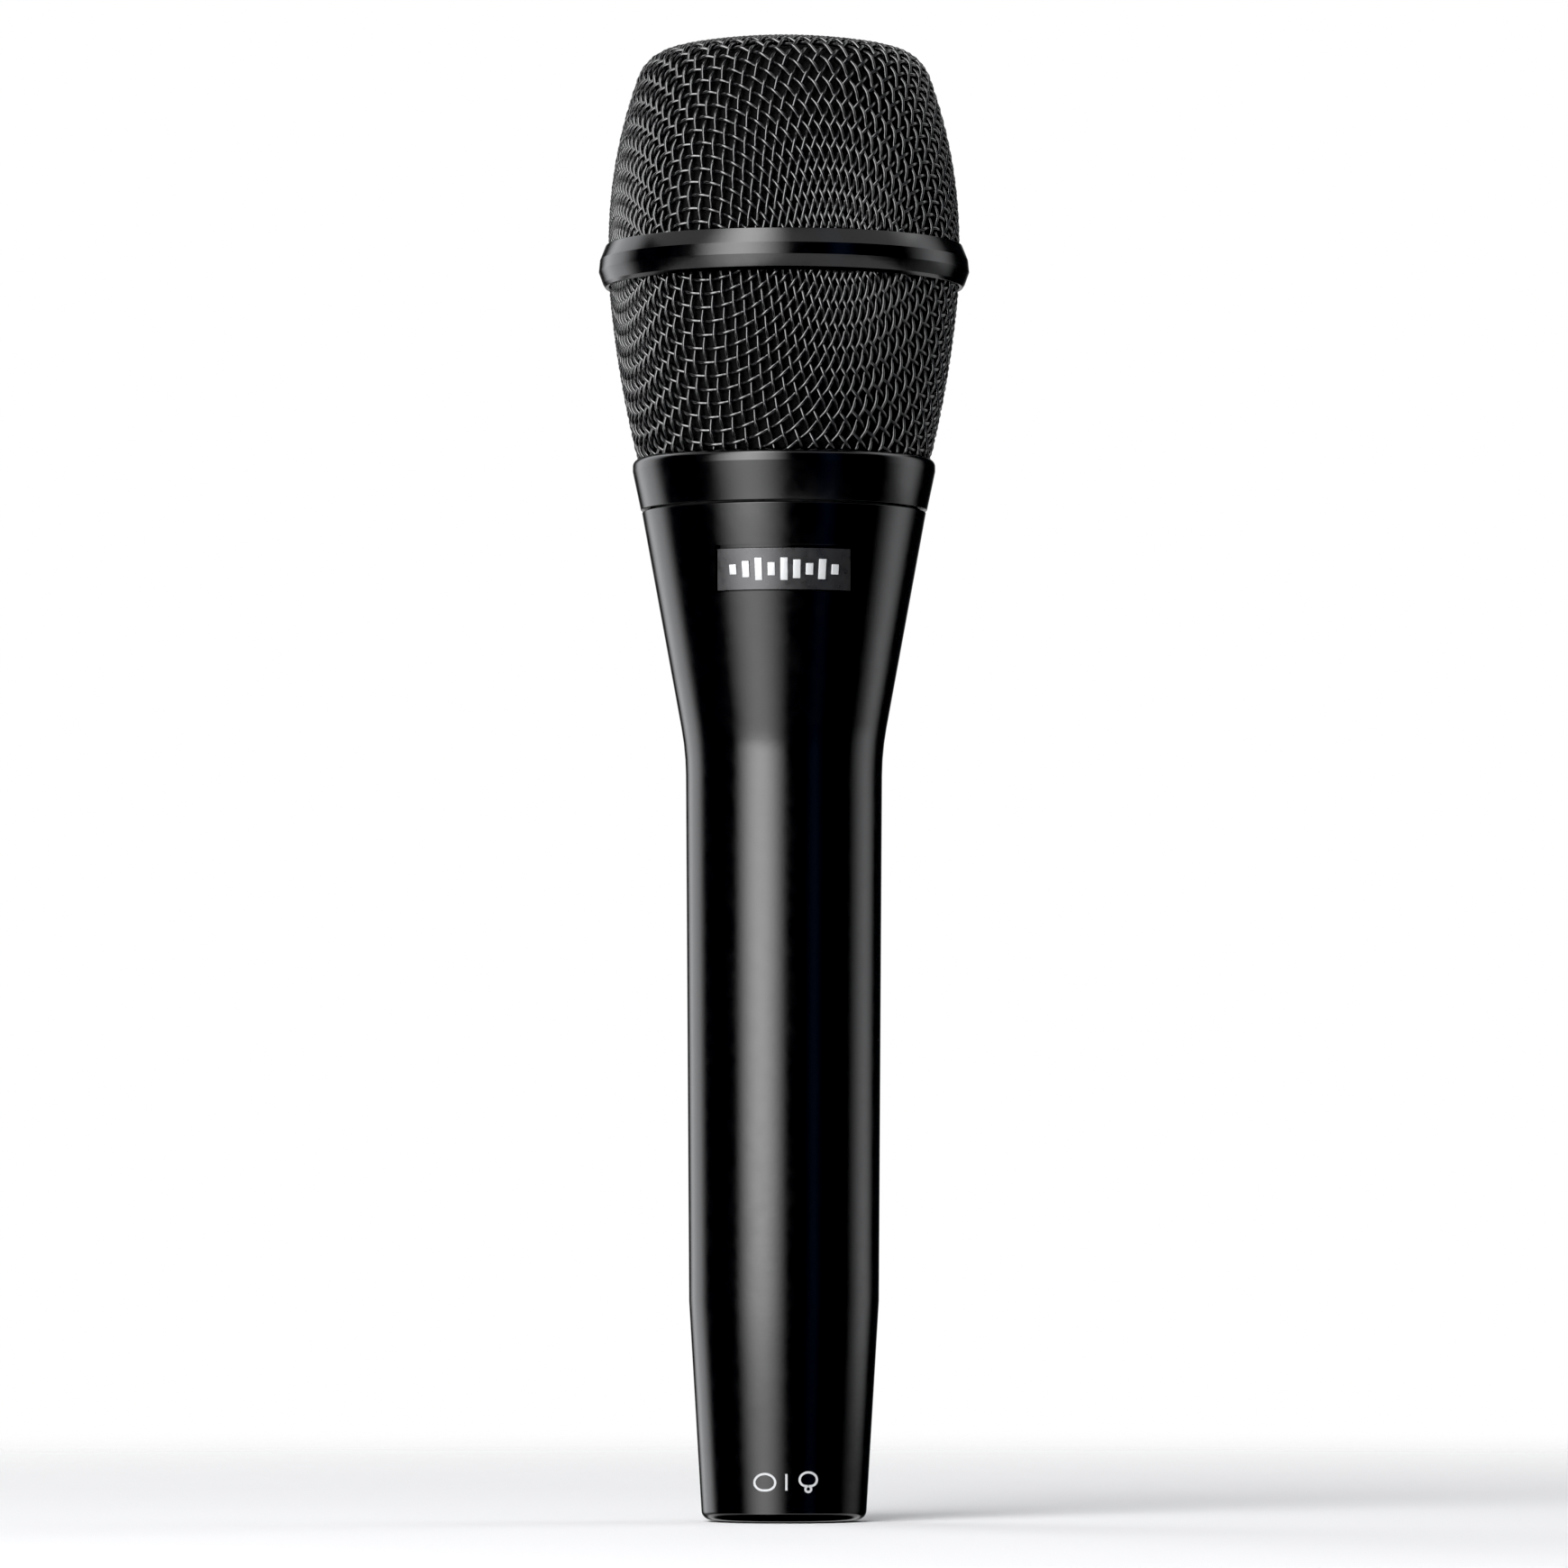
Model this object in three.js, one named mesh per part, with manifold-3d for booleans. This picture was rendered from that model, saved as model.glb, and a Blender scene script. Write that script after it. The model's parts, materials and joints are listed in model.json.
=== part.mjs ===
// A handheld vocal microphone with a screw-on wire grille, a dual-diaphragm capsule on a rubber suspension, a
// slide switch for the pick-up pattern, a circuit board in the handle and a three-pin cable socket in its end.
// Millimetres, +Z up along the microphone's axis. The origin is the centre of the handle's bottom rim, and the
// front, with the name plate, faces -Y.
import * as THREE from "three";
import { mergeVertices } from "three/addons/utils/BufferGeometryUtils.js";
import Module from "manifold-3d";

const wasm = await Module();
wasm.setup();

// ---------------------------------------------------------------- driving dimensions

const FIT = 0.3; // the gap between pieces that touch
const FINE = 36; // sides of a large turned piece
const MEDIUM = 24; // sides of a turned piece inside the grille
const COARSE = 12; // sides of a small turned piece

// Handle, from the bottom rim to the shoulder that the grille's collar meets
const HANDLE_TOP = 130;
const BASE_R = 10.56;
const BASE_ROUNDING = 0.9;
const GRIP = { lowZ: 28.2, lowR: 12.24, topZ: 99.05, topR: 12.7, bendRadius: 36 };
const SHOULDER_R = 18.38;
const WALL = 2;
const NECK = { r: 16.2, boreR: 14.3, ledgeR: 13, topZ: 135.2, ledgeZ: 129, throatZ: 123 };

// Cable socket, with the wider bore above its seat that the ground spring presses on
const SOCKET = { r: 8.15, depth: 15.2, seatZ: 24.5, upperR: 9.35, upperZ: 28.2 };
const INSERT = { r: 7.95, topZ: 24 };
const PIN = { r: 1.2, circleR: 3.8, tipZ: 2.6, cupZ: 24.8, cupR: 0.9, topZ: 28 };
const LATCH = { width: 4.6, bottomZ: 5.8, topZ: 9.2, depth: 0.9 };
const RETAINER = { r: 1.2, z: 19.6, innerY: 7.55, outerY: 11.1, keyR: 0.65, keyDepth: 1.4 };
const SPRING = { width: 2.6, thickness: 0.35, footX: -5.4, bendX: -7.4, bendZ: 25.6, topZ: 27.6 };

// Grille
const COLLAR = {
  ...{ bottomZ: 130.3, bottomR: 18.52, edgeZ: 135.3, edgeR: 19.58, topZ: 136.85 },
  ...{ boreR: 16.5, threadTopZ: 133.7, reliefR: 17.1, meshSeatZ: 135.2, pocketR: 19.15 },
};
const GASKET = { innerR: 16.6, outerR: 17.4, bottomZ: 130.05, topZ: 131.2, recess: 0.3 };
const BAND = { bottomZ: 159.2, topZ: 164.6, r: 24, boreR: 23.05 };
const CROWN_Z = 191;
const MESH_THICKNESS = 0.9;
const UPPER_MESH_Z = 162.2;
const SIDE_ARC = { r: 22.8, z: 165, radius: 60 }; // the upper mesh's side: widest radius, its height and the arc
const SHOULDER_ARC = { startR: 14.5, startZ: 189.6, cornerR: 18.35, cornerZ: 188.85, endZ: 185 };
const LOWER_ARC = { topR: 22.88, topZ: 161.4, bottomR: 18.72, bottomZ: 135.6, radius: 145 };
const FOAM = { thickness: 2.2, gap: 0.45, start: 0.07 }; // it starts at this share of the lower mesh's length

// Suspension
const PLUG = { bottomZ: 129.1, topZ: 132.8, holeR: 3.4 };
const CUP = { r: 12.6, boreR: 11.2, bottomZ: 133.1, topZ: 147.8, capR: 8.7, capHeight: 1.4 };
const VENT = { width: 6.4, bottomZ: 136.5, topZ: 143.8 };
const STEM = { r: 7.4, boreR: 2.6, bottomZ: 136.1, topZ: 152, flangeZ: 144, flangeR: 10.4, neckR: 8 };
const CRADLE = { r: 14.5, boreR: 13.7, bottomZ: 152.2, topZ: 162.5, floor: 1.5, holeR: 3.1, windowWidth: 13.2 };
const LOWER_ISOLATOR = { innerR: 4.2, outerR: 7.2, bottomZ: 132.9, topZ: 136 };
const UPPER_ISOLATOR = { innerR: 8.6, outerR: 10.6, bottomZ: 145.1, topZ: 147.8 };

// Pattern switch
const SWITCH = { z: 139.6, faceY: -12.9, travel: 2.1, width: 7.4, height: 4.6, depth: 4.4 };
const SLIDER = { width: 2.1, height: 1.5, proud: 1, play: 0.25 };

// Capsule, with its layers from the rear diaphragm's clamp ring up to the front one's
const CAPSULE = { r: 13.4, openR: 10.2, ringHeight: 1.35, skinR: 13.1, skin: 0.12, plateR: 12.3, plate: 2.4 };
const LAYER = {
  ...{ rearRing: 159, rearSkin: 160.5, rearPlate: 160.9, spacer: 163.5 },
  ...{ frontPlate: 164.7, frontSkin: 167.5, frontRing: 167.8 },
};
const PLATE_HOLE = { count: 6, r: 0.6, circleR: 6.4 };
const CLAMP_SCREW = { count: 6, r: 0.8, circleR: 11.8, height: 0.6 };
const GUARD = { rimInnerR: 12.75, rimHeight: 0.9, hoopR: 7.4, hoopZ: 2.95, hubR: 1.6, hubZ: 3.55, wireR: 0.4 };

// Circuit board
const BOARD = { width: 16, thickness: 1.6, bottomZ: 33, topZ: 116 };
const CLIP = { innerR: 7.1, outerR: 9.9, height: 4.5, gapWidth: 5 };
const INPUT_HEADER = { z: 111, height: 3.6 };
const OUTPUT_HEADER = { z: 34, height: 3.2 };
const WIRE_R = 0.42;

// Name plate
const NAME_PLATE = { width: 17, bottomZ: 118.9, height: 5.3, thickness: 0.5, depth: 0.1 };
const PLATE_POCKET = { width: 17.6, depth: 0.7, below: 0.15, above: 0.45 };

// ---------------------------------------------------------------- materials

const finish = (color, roughness, metalness) => new THREE.MeshStandardMaterial({ color, roughness, metalness });
const MATERIAL = {
  lacquer: finish(0x0b0b0d, 0.28, 0.2),
  blackSteel: finish(0x141416, 0.35, 0.8),
  satinBlack: finish(0x2a2a2d, 0.45, 0.6),
  foam: finish(0x0d0d0e, 0.95, 0),
  rubber: finish(0x111111, 0.8, 0),
  plastic: finish(0x17171a, 0.5, 0),
  whitePlastic: finish(0xd8d8d2, 0.45, 0),
  brass: finish(0xb9924a, 0.3, 1),
  gold: finish(0xd9b25c, 0.2, 1),
  steel: finish(0xa5a8ab, 0.3, 1),
  fibreglass: finish(0x0f3d26, 0.55, 0),
  tin: finish(0xb4b8ba, 0.35, 1),
  redWire: finish(0x8d1f1c, 0.5, 0),
};

// ---------------------------------------------------------------- shaping helpers

const microphone = new THREE.Group();
const ON_AXIS = 1e-6; // a radius below this is on the axis
const ARC_STEP = 0.45; // the most that a fillet turns between two points, in radians

function add(name, geometry, material) {
  const mesh = new THREE.Mesh(geometry, material);
  mesh.name = name;
  microphone.add(mesh);
}

// Corners [radius, height, fillet] as a list of points, each fillet drawn as a short arc.
function outline(corners, closed = true) {
  const points = [];
  corners.forEach(([r, z, fillet = 0], i) => {
    const corner = new THREE.Vector2(r, z);
    const inside = closed || (i > 0 && i < corners.length - 1);
    if (!fillet || !inside) {
      points.push(corner);
      return;
    }
    const [before, after] = [-1, 1].map((step) => {
      const [nr, nz] = corners[(i + step + corners.length) % corners.length];
      return new THREE.Vector2(nr, nz).sub(corner).normalize();
    });
    const half = before.angleTo(after) / 2;
    const reach = fillet / Math.tan(half);
    const start = corner.clone().addScaledVector(before, reach);
    const end = corner.clone().addScaledVector(after, reach);
    const turn = Math.PI - 2 * half;
    const steps = Math.max(2, Math.round(turn / ARC_STEP));
    const curve = new THREE.QuadraticBezierCurve(start, corner, end);
    points.push(...curve.getPoints(steps));
  });
  return points;
}

// The same outline moved sideways by a distance, to its right as it is walked.
function beside(points, distance) {
  return points.map((point, i) => {
    const from = points[Math.max(0, i - 1)];
    const to = points[Math.min(points.length - 1, i + 1)];
    const along = to.clone().sub(from).normalize();
    const moved = new THREE.Vector2(point.x + along.y * distance, point.y - along.x * distance);
    if (point.x < ON_AXIS) moved.x = 0;
    return moved;
  });
}

// A solid of revolution about Z. The profile is closed, or starts and ends on the axis, in either direction.
function turned(profile, sides = FINE) {
  const loop = profile.map((p) => (Array.isArray(p) ? new THREE.Vector2(p[0], p[1]) : p.clone()));
  const onAxis = loop[0].x < ON_AXIS && loop[loop.length - 1].x < ON_AXIS;
  if (THREE.ShapeUtils.area(loop) < 0) loop.reverse();
  if (!onAxis) loop.push(loop[0].clone());
  return new THREE.LatheGeometry(loop, sides).rotateX(Math.PI / 2);
}

function ring(innerR, outerR, bottomZ, topZ, sides = FINE) {
  const corners = [[innerR, bottomZ], [outerR, bottomZ], [outerR, topZ], [innerR, topZ]];
  return turned(corners, sides);
}

function disc(r, bottomZ, topZ, sides = FINE) {
  return turned([[0, bottomZ], [r, bottomZ], [r, topZ], [0, topZ]], sides);
}

// A box from its lowest to its highest corner.
function block([x0, y0, z0], [x1, y1, z1]) {
  const box = new THREE.BoxGeometry(x1 - x0, y1 - y0, z1 - z0);
  return box.translate((x0 + x1) / 2, (y0 + y1) / 2, (z0 + z1) / 2);
}

// A cylinder between two points.
function rod(from, to, r, sides = COARSE) {
  const a = new THREE.Vector3(...from);
  const along = new THREE.Vector3(...to).sub(a);
  const cylinder = new THREE.CylinderGeometry(r, r, along.length(), sides);
  const turn = new THREE.Quaternion().setFromUnitVectors(new THREE.Vector3(0, 1, 0), along.clone().normalize());
  return cylinder.applyQuaternion(turn).translate(...a.addScaledVector(along, 0.5).toArray());
}

// A round wire along a smooth curve through points.
function wire(points, r, steps) {
  const section = new THREE.Shape().absarc(0, 0, r, 0, 2 * Math.PI);
  const curve = new THREE.CatmullRomCurve3(points.map((p) => new THREE.Vector3(...p)), false, "centripetal");
  const quarterSides = 3;
  return new THREE.ExtrudeGeometry(section, { steps, curveSegments: quarterSides, extrudePath: curve });
}

function solid(geometry) {
  const bare = new THREE.BufferGeometry().setAttribute("position", geometry.getAttribute("position"));
  bare.setIndex(geometry.index);
  const merged = mergeVertices(bare, 1e-3);
  const vertProperties = merged.attributes.position.array;
  const triVerts = new Uint32Array(merged.index.array);
  return new wasm.Manifold(new wasm.Mesh({ numProp: 3, vertProperties, triVerts }));
}

function shape(body) {
  const { vertProperties, triVerts } = body.getMesh();
  const geometry = new THREE.BufferGeometry();
  geometry.setAttribute("position", new THREE.BufferAttribute(new Float32Array(vertProperties), 3));
  geometry.setIndex(new THREE.BufferAttribute(new Uint32Array(triVerts), 1));
  geometry.computeVertexNormals();
  return geometry;
}

const cut = (base, ...tools) => shape(tools.reduce((body, tool) => body.subtract(solid(tool)), solid(base)));
const join = (base, ...more) => shape(more.reduce((body, piece) => body.add(solid(piece)), solid(base)));
const common = (a, b) => shape(solid(a).intersect(solid(b)));

const around = (count, make, start = 0) =>
  Array.from({ length: count }, (_, i) => make(start + (i * 2 * Math.PI) / count, i + 1));

// ---------------------------------------------------------------- handle

// The handle's radius on its upper cone, above the bend.
const coneR = (z) => GRIP.topR + ((SHOULDER_R - GRIP.topR) * (z - GRIP.topZ)) / (HANDLE_TOP - GRIP.topZ);

function handleShell() {
  const outside = outline([
    [BASE_R, 0, BASE_ROUNDING],
    [GRIP.lowR, GRIP.lowZ],
    [GRIP.topR, GRIP.topZ, GRIP.bendRadius],
    [SHOULDER_R, HANDLE_TOP, 0.2],
    [NECK.r, HANDLE_TOP],
    [NECK.r, NECK.topZ, 0.5],
    [NECK.boreR, NECK.topZ],
    [NECK.boreR, NECK.ledgeZ],
    [NECK.ledgeR, NECK.ledgeZ],
    [NECK.ledgeR, NECK.throatZ],
    [GRIP.topR - WALL, GRIP.topZ + WALL],
    [GRIP.lowR - WALL, GRIP.lowZ + WALL],
    [SOCKET.upperR, SOCKET.upperZ],
    [SOCKET.upperR, SOCKET.seatZ],
    [SOCKET.r, SOCKET.seatZ],
    [SOCKET.r, 0, 0.35],
  ]);
  const latchNotch = block(
    [-LATCH.width / 2, 0, LATCH.bottomZ],
    [LATCH.width / 2, SOCKET.r + LATCH.depth, LATCH.topZ],
  );
  return cut(turned(outside), platePocket(), retainerHole(GRIP.lowR + 1), latchNotch);
}

// The hole for the retaining screw, from inside the connector insert out to a distance behind the axis.
function retainerHole(outerY) {
  const innerY = RETAINER.innerY - FIT;
  return rod([0, innerY, RETAINER.z], [0, outerY, RETAINER.z], RETAINER.r + FIT);
}

// A slice of the handle's upper cone between two depths below its surface.
function coneSlice(outerDepth, innerDepth, bottomZ, topZ, width) {
  const slice = turned(
    [
      [coneR(bottomZ) - innerDepth, bottomZ],
      [coneR(bottomZ) - outerDepth, bottomZ],
      [coneR(topZ) - outerDepth, topZ],
      [coneR(topZ) - innerDepth, topZ],
    ],
    2 * FINE,
  );
  return common(slice, block([-width / 2, -SHOULDER_R - 2, bottomZ], [width / 2, 0, topZ]));
}

// The pocket runs above the plate, so that a shadow gap shows over the plate's top edge.
function platePocket() {
  const bottomZ = NAME_PLATE.bottomZ - PLATE_POCKET.below;
  const topZ = NAME_PLATE.bottomZ + NAME_PLATE.height + PLATE_POCKET.above;
  const clearOfSurface = -1;
  return coneSlice(clearOfSurface, PLATE_POCKET.depth, bottomZ, topZ, PLATE_POCKET.width);
}

function namePlate() {
  const { width, bottomZ, height, thickness, depth } = NAME_PLATE;
  return coneSlice(depth, depth + thickness, bottomZ, bottomZ + height, width);
}

// ---------------------------------------------------------------- cable socket

const pinPlaces = [
  [PIN.circleR, 0],
  [-PIN.circleR, 0],
  [0, -PIN.circleR],
];

function connectorInsert() {
  const { r, topZ } = INSERT;
  const bottomZ = SOCKET.depth;
  const body = outline([[0, bottomZ], [r, bottomZ, 0.3], [r, topZ, 0.3], [0, topZ]], false);
  const pinHoleR = PIN.r + 0.15;
  const holes = pinPlaces.map(([x, y]) => rod([x, y, bottomZ - 1], [x, y, topZ + 1], pinHoleR));
  return cut(turned(body), ...holes, retainerHole(r + 1));
}

// A contact pin: a round-nosed shank, then a slimmer solder cup.
function connectorPin([x, y]) {
  const { r, tipZ, cupZ, cupR, topZ } = PIN;
  const corners = [[0, tipZ], [r, tipZ, 0.9], [r, cupZ], [cupR, cupZ + 0.2], [cupR, topZ], [0, topZ]];
  return turned(outline(corners, false), COARSE).translate(x, y, 0);
}

function retainingScrew() {
  const { r, z, innerY, outerY, keyR, keyDepth } = RETAINER;
  const hexKey = rod([0, outerY - keyDepth, z], [0, outerY + 1, z], keyR, 6);
  return cut(rod([0, innerY, z], [0, outerY, z], r), hexKey);
}

// A bent strip from the socket's wall to just above the insert.
function groundSpring() {
  const { width, thickness, footX, bendX, bendZ, topZ } = SPRING;
  const wallX = FIT - SOCKET.upperR;
  const footZ = INSERT.topZ + FIT;
  const strip = new THREE.Shape();
  strip.moveTo(wallX, topZ);
  strip.lineTo(wallX, bendZ);
  strip.quadraticCurveTo(wallX, footZ + 0.6, bendX, footZ);
  strip.lineTo(footX, footZ);
  strip.lineTo(footX, footZ + thickness);
  strip.lineTo(bendX, footZ + thickness);
  strip.quadraticCurveTo(wallX + thickness, footZ + 0.9, wallX + thickness, bendZ);
  strip.lineTo(wallX + thickness, topZ);
  strip.closePath();
  return new THREE.ExtrudeGeometry(strip, { depth: width, bevelEnabled: false, curveSegments: 4 })
    .rotateX(Math.PI / 2)
    .translate(0, width / 2, 0);
}

// ---------------------------------------------------------------- circuit board

function circuitBoard() {
  const half = BOARD.width / 2;
  const plate = block([-half, -BOARD.thickness / 2, BOARD.bottomZ], [half, BOARD.thickness / 2, BOARD.topZ]);
  const notch = { depth: 0.9, bottomZ: 57, topZ: 60 };
  const notches = [-half, half].map((x) =>
    block([x - notch.depth, -BOARD.thickness, notch.bottomZ], [x + notch.depth, BOARD.thickness, notch.topZ]),
  );
  return cut(plate, ...notches);
}

// A split ring that grips the handle's bore, with a slot that the board slides into.
function boardClip(bottomZ) {
  const { innerR, outerR, height, gapWidth } = CLIP;
  const [slotX, slotY] = [BOARD.width / 2 + FIT, BOARD.thickness / 2 + FIT];
  const [below, above] = [bottomZ - 1, bottomZ + height + 1];
  return cut(
    ring(innerR, outerR, bottomZ, bottomZ + height),
    block([-slotX, -slotY, below], [slotX, slotY, above]),
    block([-gapWidth / 2, -outerR - 1, below], [gapWidth / 2, -innerR / 2, above]),
  );
}

// A can-shaped capacitor standing in front of the board, with a crimp near its top.
function capacitor(bottomZ, length, r) {
  const y = -BOARD.thickness / 2 - FIT - r;
  const crimp = { z: length - 1.1, depth: 0.25, height: 0.6 };
  const can = [
    [0, 0],
    [r, 0],
    [r, crimp.z - crimp.height / 2],
    [r - crimp.depth, crimp.z],
    [r, crimp.z + crimp.height / 2],
    [r, length],
    [0, length],
  ];
  return turned(can, COARSE).translate(0, y, bottomZ);
}

// A component whose nearest face is on the board's front, side -1, or its back, side 1.
function component(x, z, [width, height, length], side) {
  const near = side * (BOARD.thickness / 2 + FIT / 3);
  const far = near + side * height;
  return block([x - width / 2, Math.min(near, far), z], [x + width / 2, Math.max(near, far), z + length]);
}

// ---------------------------------------------------------------- suspension and pattern switch

function neckPlate() {
  const edgeR = NECK.boreR - FIT;
  const { bottomZ, topZ, holeR } = PLUG;
  const plate = turned(outline([[0, bottomZ], [edgeR, bottomZ], [edgeR, topZ, 0.4], [0, topZ]], false));
  return cut(plate, rod([0, 0, bottomZ - 1], [0, 0, topZ + 1], holeR));
}

// A tube with three vents, and a window at the front that the pattern switch looks through.
function mountCup() {
  const { r, boreR, bottomZ, topZ } = CUP;
  const windowX = SWITCH.width / 2 + 0.4;
  const windowZ = SWITCH.height / 2 + 0.4;
  const window = block([-windowX, -r - 1, SWITCH.z - windowZ], [windowX, 0, SWITCH.z + windowZ]);
  const vent = (turn) =>
    block([boreR - 1, -VENT.width / 2, VENT.bottomZ], [r + 1, VENT.width / 2, VENT.topZ]).rotateZ(turn);
  return cut(ring(boreR, r, bottomZ, topZ), window, vent(0), vent(Math.PI / 2), vent(Math.PI));
}

// A hollow post whose flange is held between the two isolators.
function capsuleStem() {
  const { r, boreR, bottomZ, topZ, flangeZ, flangeR, neckR } = STEM;
  const flangeHeight = 1;
  return turned(
    [
      [boreR, bottomZ],
      [r, bottomZ],
      [r, flangeZ - 0.8],
      [flangeR, flangeZ],
      [flangeR, flangeZ + flangeHeight],
      [neckR, flangeZ + flangeHeight],
      [neckR, topZ],
      [boreR, topZ],
    ],
    MEDIUM,
  );
}

function capsuleCradle() {
  const { r, boreR, bottomZ, topZ, floor, holeR, windowWidth } = CRADLE;
  const bowl = turned(
    outline([
      [holeR, bottomZ],
      [9, bottomZ],
      [r, bottomZ + 3.4, 1],
      [r, topZ],
      [boreR, topZ],
      [boreR, bottomZ + 4.6, 0.6],
      [8.6, bottomZ + floor],
      [holeR, bottomZ + floor],
    ]),
    MEDIUM,
  );
  const [innerR, sill, lintel] = [6.5, bottomZ + floor + 0.4, topZ - 4.2];
  const window = (turn) =>
    block([innerR, -windowWidth / 2, sill], [r + 1, windowWidth / 2, lintel]).rotateZ(turn);
  return cut(bowl, ...around(4, window, Math.PI / 4));
}

function switchBody() {
  const { z, faceY, travel, width, height, depth } = SWITCH;
  const housing = block([-width / 2, faceY, z - height / 2], [width / 2, faceY + depth, z + height / 2]);
  const slotX = (SLIDER.width + travel) / 2 + SLIDER.play;
  const slotZ = SLIDER.height / 2 + SLIDER.play;
  const slotDepth = depth / 2;
  return cut(housing, block([-slotX, faceY - 1, z - slotZ], [slotX, faceY + slotDepth, z + slotZ]));
}

// The slider at the left end of its travel, with a groove for a fingernail.
function switchSlider() {
  const { z, faceY, travel, depth } = SWITCH;
  const { width, height, proud, play } = SLIDER;
  const left = -(width + travel) / 2;
  const middle = left + width / 2;
  const back = faceY + depth / 2 - play;
  const groove = { halfWidth: 0.2, depth: 0.3 };
  return cut(
    block([left, faceY - proud, z - height / 2], [left + width, back, z + height / 2]),
    block(
      [middle - groove.halfWidth, faceY - proud - 1, z - height],
      [middle + groove.halfWidth, faceY - proud + groove.depth, z + height],
    ),
  );
}

// ---------------------------------------------------------------- capsule

function clampRing(bottomZ) {
  const { r, openR, ringHeight } = CAPSULE;
  const topZ = bottomZ + ringHeight;
  return turned(outline([[openR, bottomZ], [r, bottomZ, 0.25], [r, topZ, 0.25], [openR, topZ]]), MEDIUM);
}

function diaphragm(bottomZ) {
  return disc(CAPSULE.skinR, bottomZ, bottomZ + CAPSULE.skin, MEDIUM);
}

function backplate(bottomZ) {
  const { plateR, plate } = CAPSULE;
  const holes = around(PLATE_HOLE.count, (angle) => {
    const x = PLATE_HOLE.circleR * Math.cos(angle);
    const y = PLATE_HOLE.circleR * Math.sin(angle);
    return rod([x, y, bottomZ - 1], [x, y, bottomZ + plate + 1], PLATE_HOLE.r, 6);
  });
  return cut(disc(plateR, bottomZ, bottomZ + plate, MEDIUM), ...holes);
}

const frontRingTop = LAYER.frontRing + CAPSULE.ringHeight;

function clampScrew(angle) {
  const { r, circleR, height } = CLAMP_SCREW;
  const seat = frontRingTop + FIT / 3;
  const slot = block([-r - 1, -0.12, seat + height / 2], [r + 1, 0.12, seat + height + 1]);
  return cut(disc(r, seat, seat + height, 8), slot)
    .rotateZ(angle)
    .translate(circleR * Math.cos(angle), circleR * Math.sin(angle), 0);
}

// An open dome of a hoop and spokes that keeps fingers off the front diaphragm. The spokes land between screws.
function capsuleGuard() {
  const { rimInnerR, rimHeight, hoopR, hoopZ, hubR, hubZ, wireR } = GUARD;
  const rimZ = frontRingTop + FIT / 2;
  const rim = ring(rimInnerR, CAPSULE.r, rimZ, rimZ + rimHeight, MEDIUM);
  const hoop = ring(hoopR - wireR, hoopR + wireR, rimZ + hoopZ - wireR, rimZ + hoopZ + wireR, MEDIUM);
  const hub = disc(hubR, rimZ + hubZ - wireR, rimZ + hubZ + wireR);
  const rimMiddle = (rimInnerR + CAPSULE.r) / 2;
  const spokes = around(4, (angle) => {
    const at = (r, z) => [r * Math.cos(angle), r * Math.sin(angle), rimZ + z];
    const outer = rod(at(rimMiddle, rimHeight / 2), at(hoopR, hoopZ), wireR, 6);
    const inner = rod(at(hoopR, hoopZ), at(hubR / 2, hubZ), wireR, 6);
    return join(outer, inner);
  }, Math.PI / 4);
  return join(rim, hoop, hub, ...spokes);
}

// ---------------------------------------------------------------- grille

// The upper mesh's outer line, from the band up the side, over the shoulder to the crown.
function upperMeshLine() {
  const sideR = (z) => SIDE_ARC.r - SIDE_ARC.radius + Math.sqrt(SIDE_ARC.radius ** 2 - (z - SIDE_ARC.z) ** 2);
  const { startR, startZ, cornerR, cornerZ, endZ } = SHOULDER_ARC;
  const side = [SIDE_ARC.z, 172, 179].map((z) => new THREE.Vector2(sideR(z), z));
  const shoulder = new THREE.QuadraticBezierCurve(
    new THREE.Vector2(sideR(endZ), endZ),
    new THREE.Vector2(cornerR, cornerZ),
    new THREE.Vector2(startR, startZ),
  );
  const crown = new THREE.QuadraticBezierCurve(
    new THREE.Vector2(startR, startZ),
    new THREE.Vector2(startR / 2, CROWN_Z),
    new THREE.Vector2(0, CROWN_Z),
  );
  const foot = new THREE.Vector2(SIDE_ARC.r, UPPER_MESH_Z);
  return [foot, ...side, ...shoulder.getPoints(3), ...crown.getPoints(3).slice(1)];
}

// The lower mesh's outer line, from a share of its length above the collar up to inside the band.
function lowerMeshLine(start = 0) {
  const { topR, topZ, bottomR, bottomZ, radius } = LOWER_ARC;
  const from = new THREE.Vector2(bottomR, bottomZ);
  const to = new THREE.Vector2(topR, topZ);
  const chord = to.clone().sub(from);
  const bulge = chord.lengthSq() / (4 * radius); // the control point's height over the chord, twice the arc's
  const outward = new THREE.Vector2(chord.y, -chord.x).normalize();
  const control = from.clone().lerp(to, 0.5).addScaledVector(outward, bulge);
  const curve = new THREE.QuadraticBezierCurve(from, control, to);
  const steps = 4;
  return Array.from({ length: steps + 1 }, (_, i) => curve.getPoint(start + ((1 - start) * i) / steps));
}

// A wall of even thickness inside an outer line.
function shellInside(line, depth, thickness, sides = FINE) {
  const outer = beside(line, -depth);
  const inner = beside(line, -depth - thickness);
  return turned([...outer, ...inner.reverse()], sides);
}

// The foam follows both meshes from just above the collar to the crown.
function foamLiner() {
  const line = [...lowerMeshLine(FOAM.start), ...upperMeshLine().slice(1)];
  return shellInside(line, MESH_THICKNESS + FOAM.gap, FOAM.thickness, MEDIUM);
}

// Three facets outside, and a plain bore that both meshes run into.
function grilleBand() {
  const { bottomZ, topZ, r, boreR } = BAND;
  return turned([
    [boreR, bottomZ],
    [r - 0.6, bottomZ],
    [r - 0.35, bottomZ + 0.35],
    [r, bottomZ + 2.05],
    [r - 0.1, bottomZ + 3.55],
    [boreR + 0.25, topZ],
    [boreR, topZ],
  ]);
}

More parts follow.
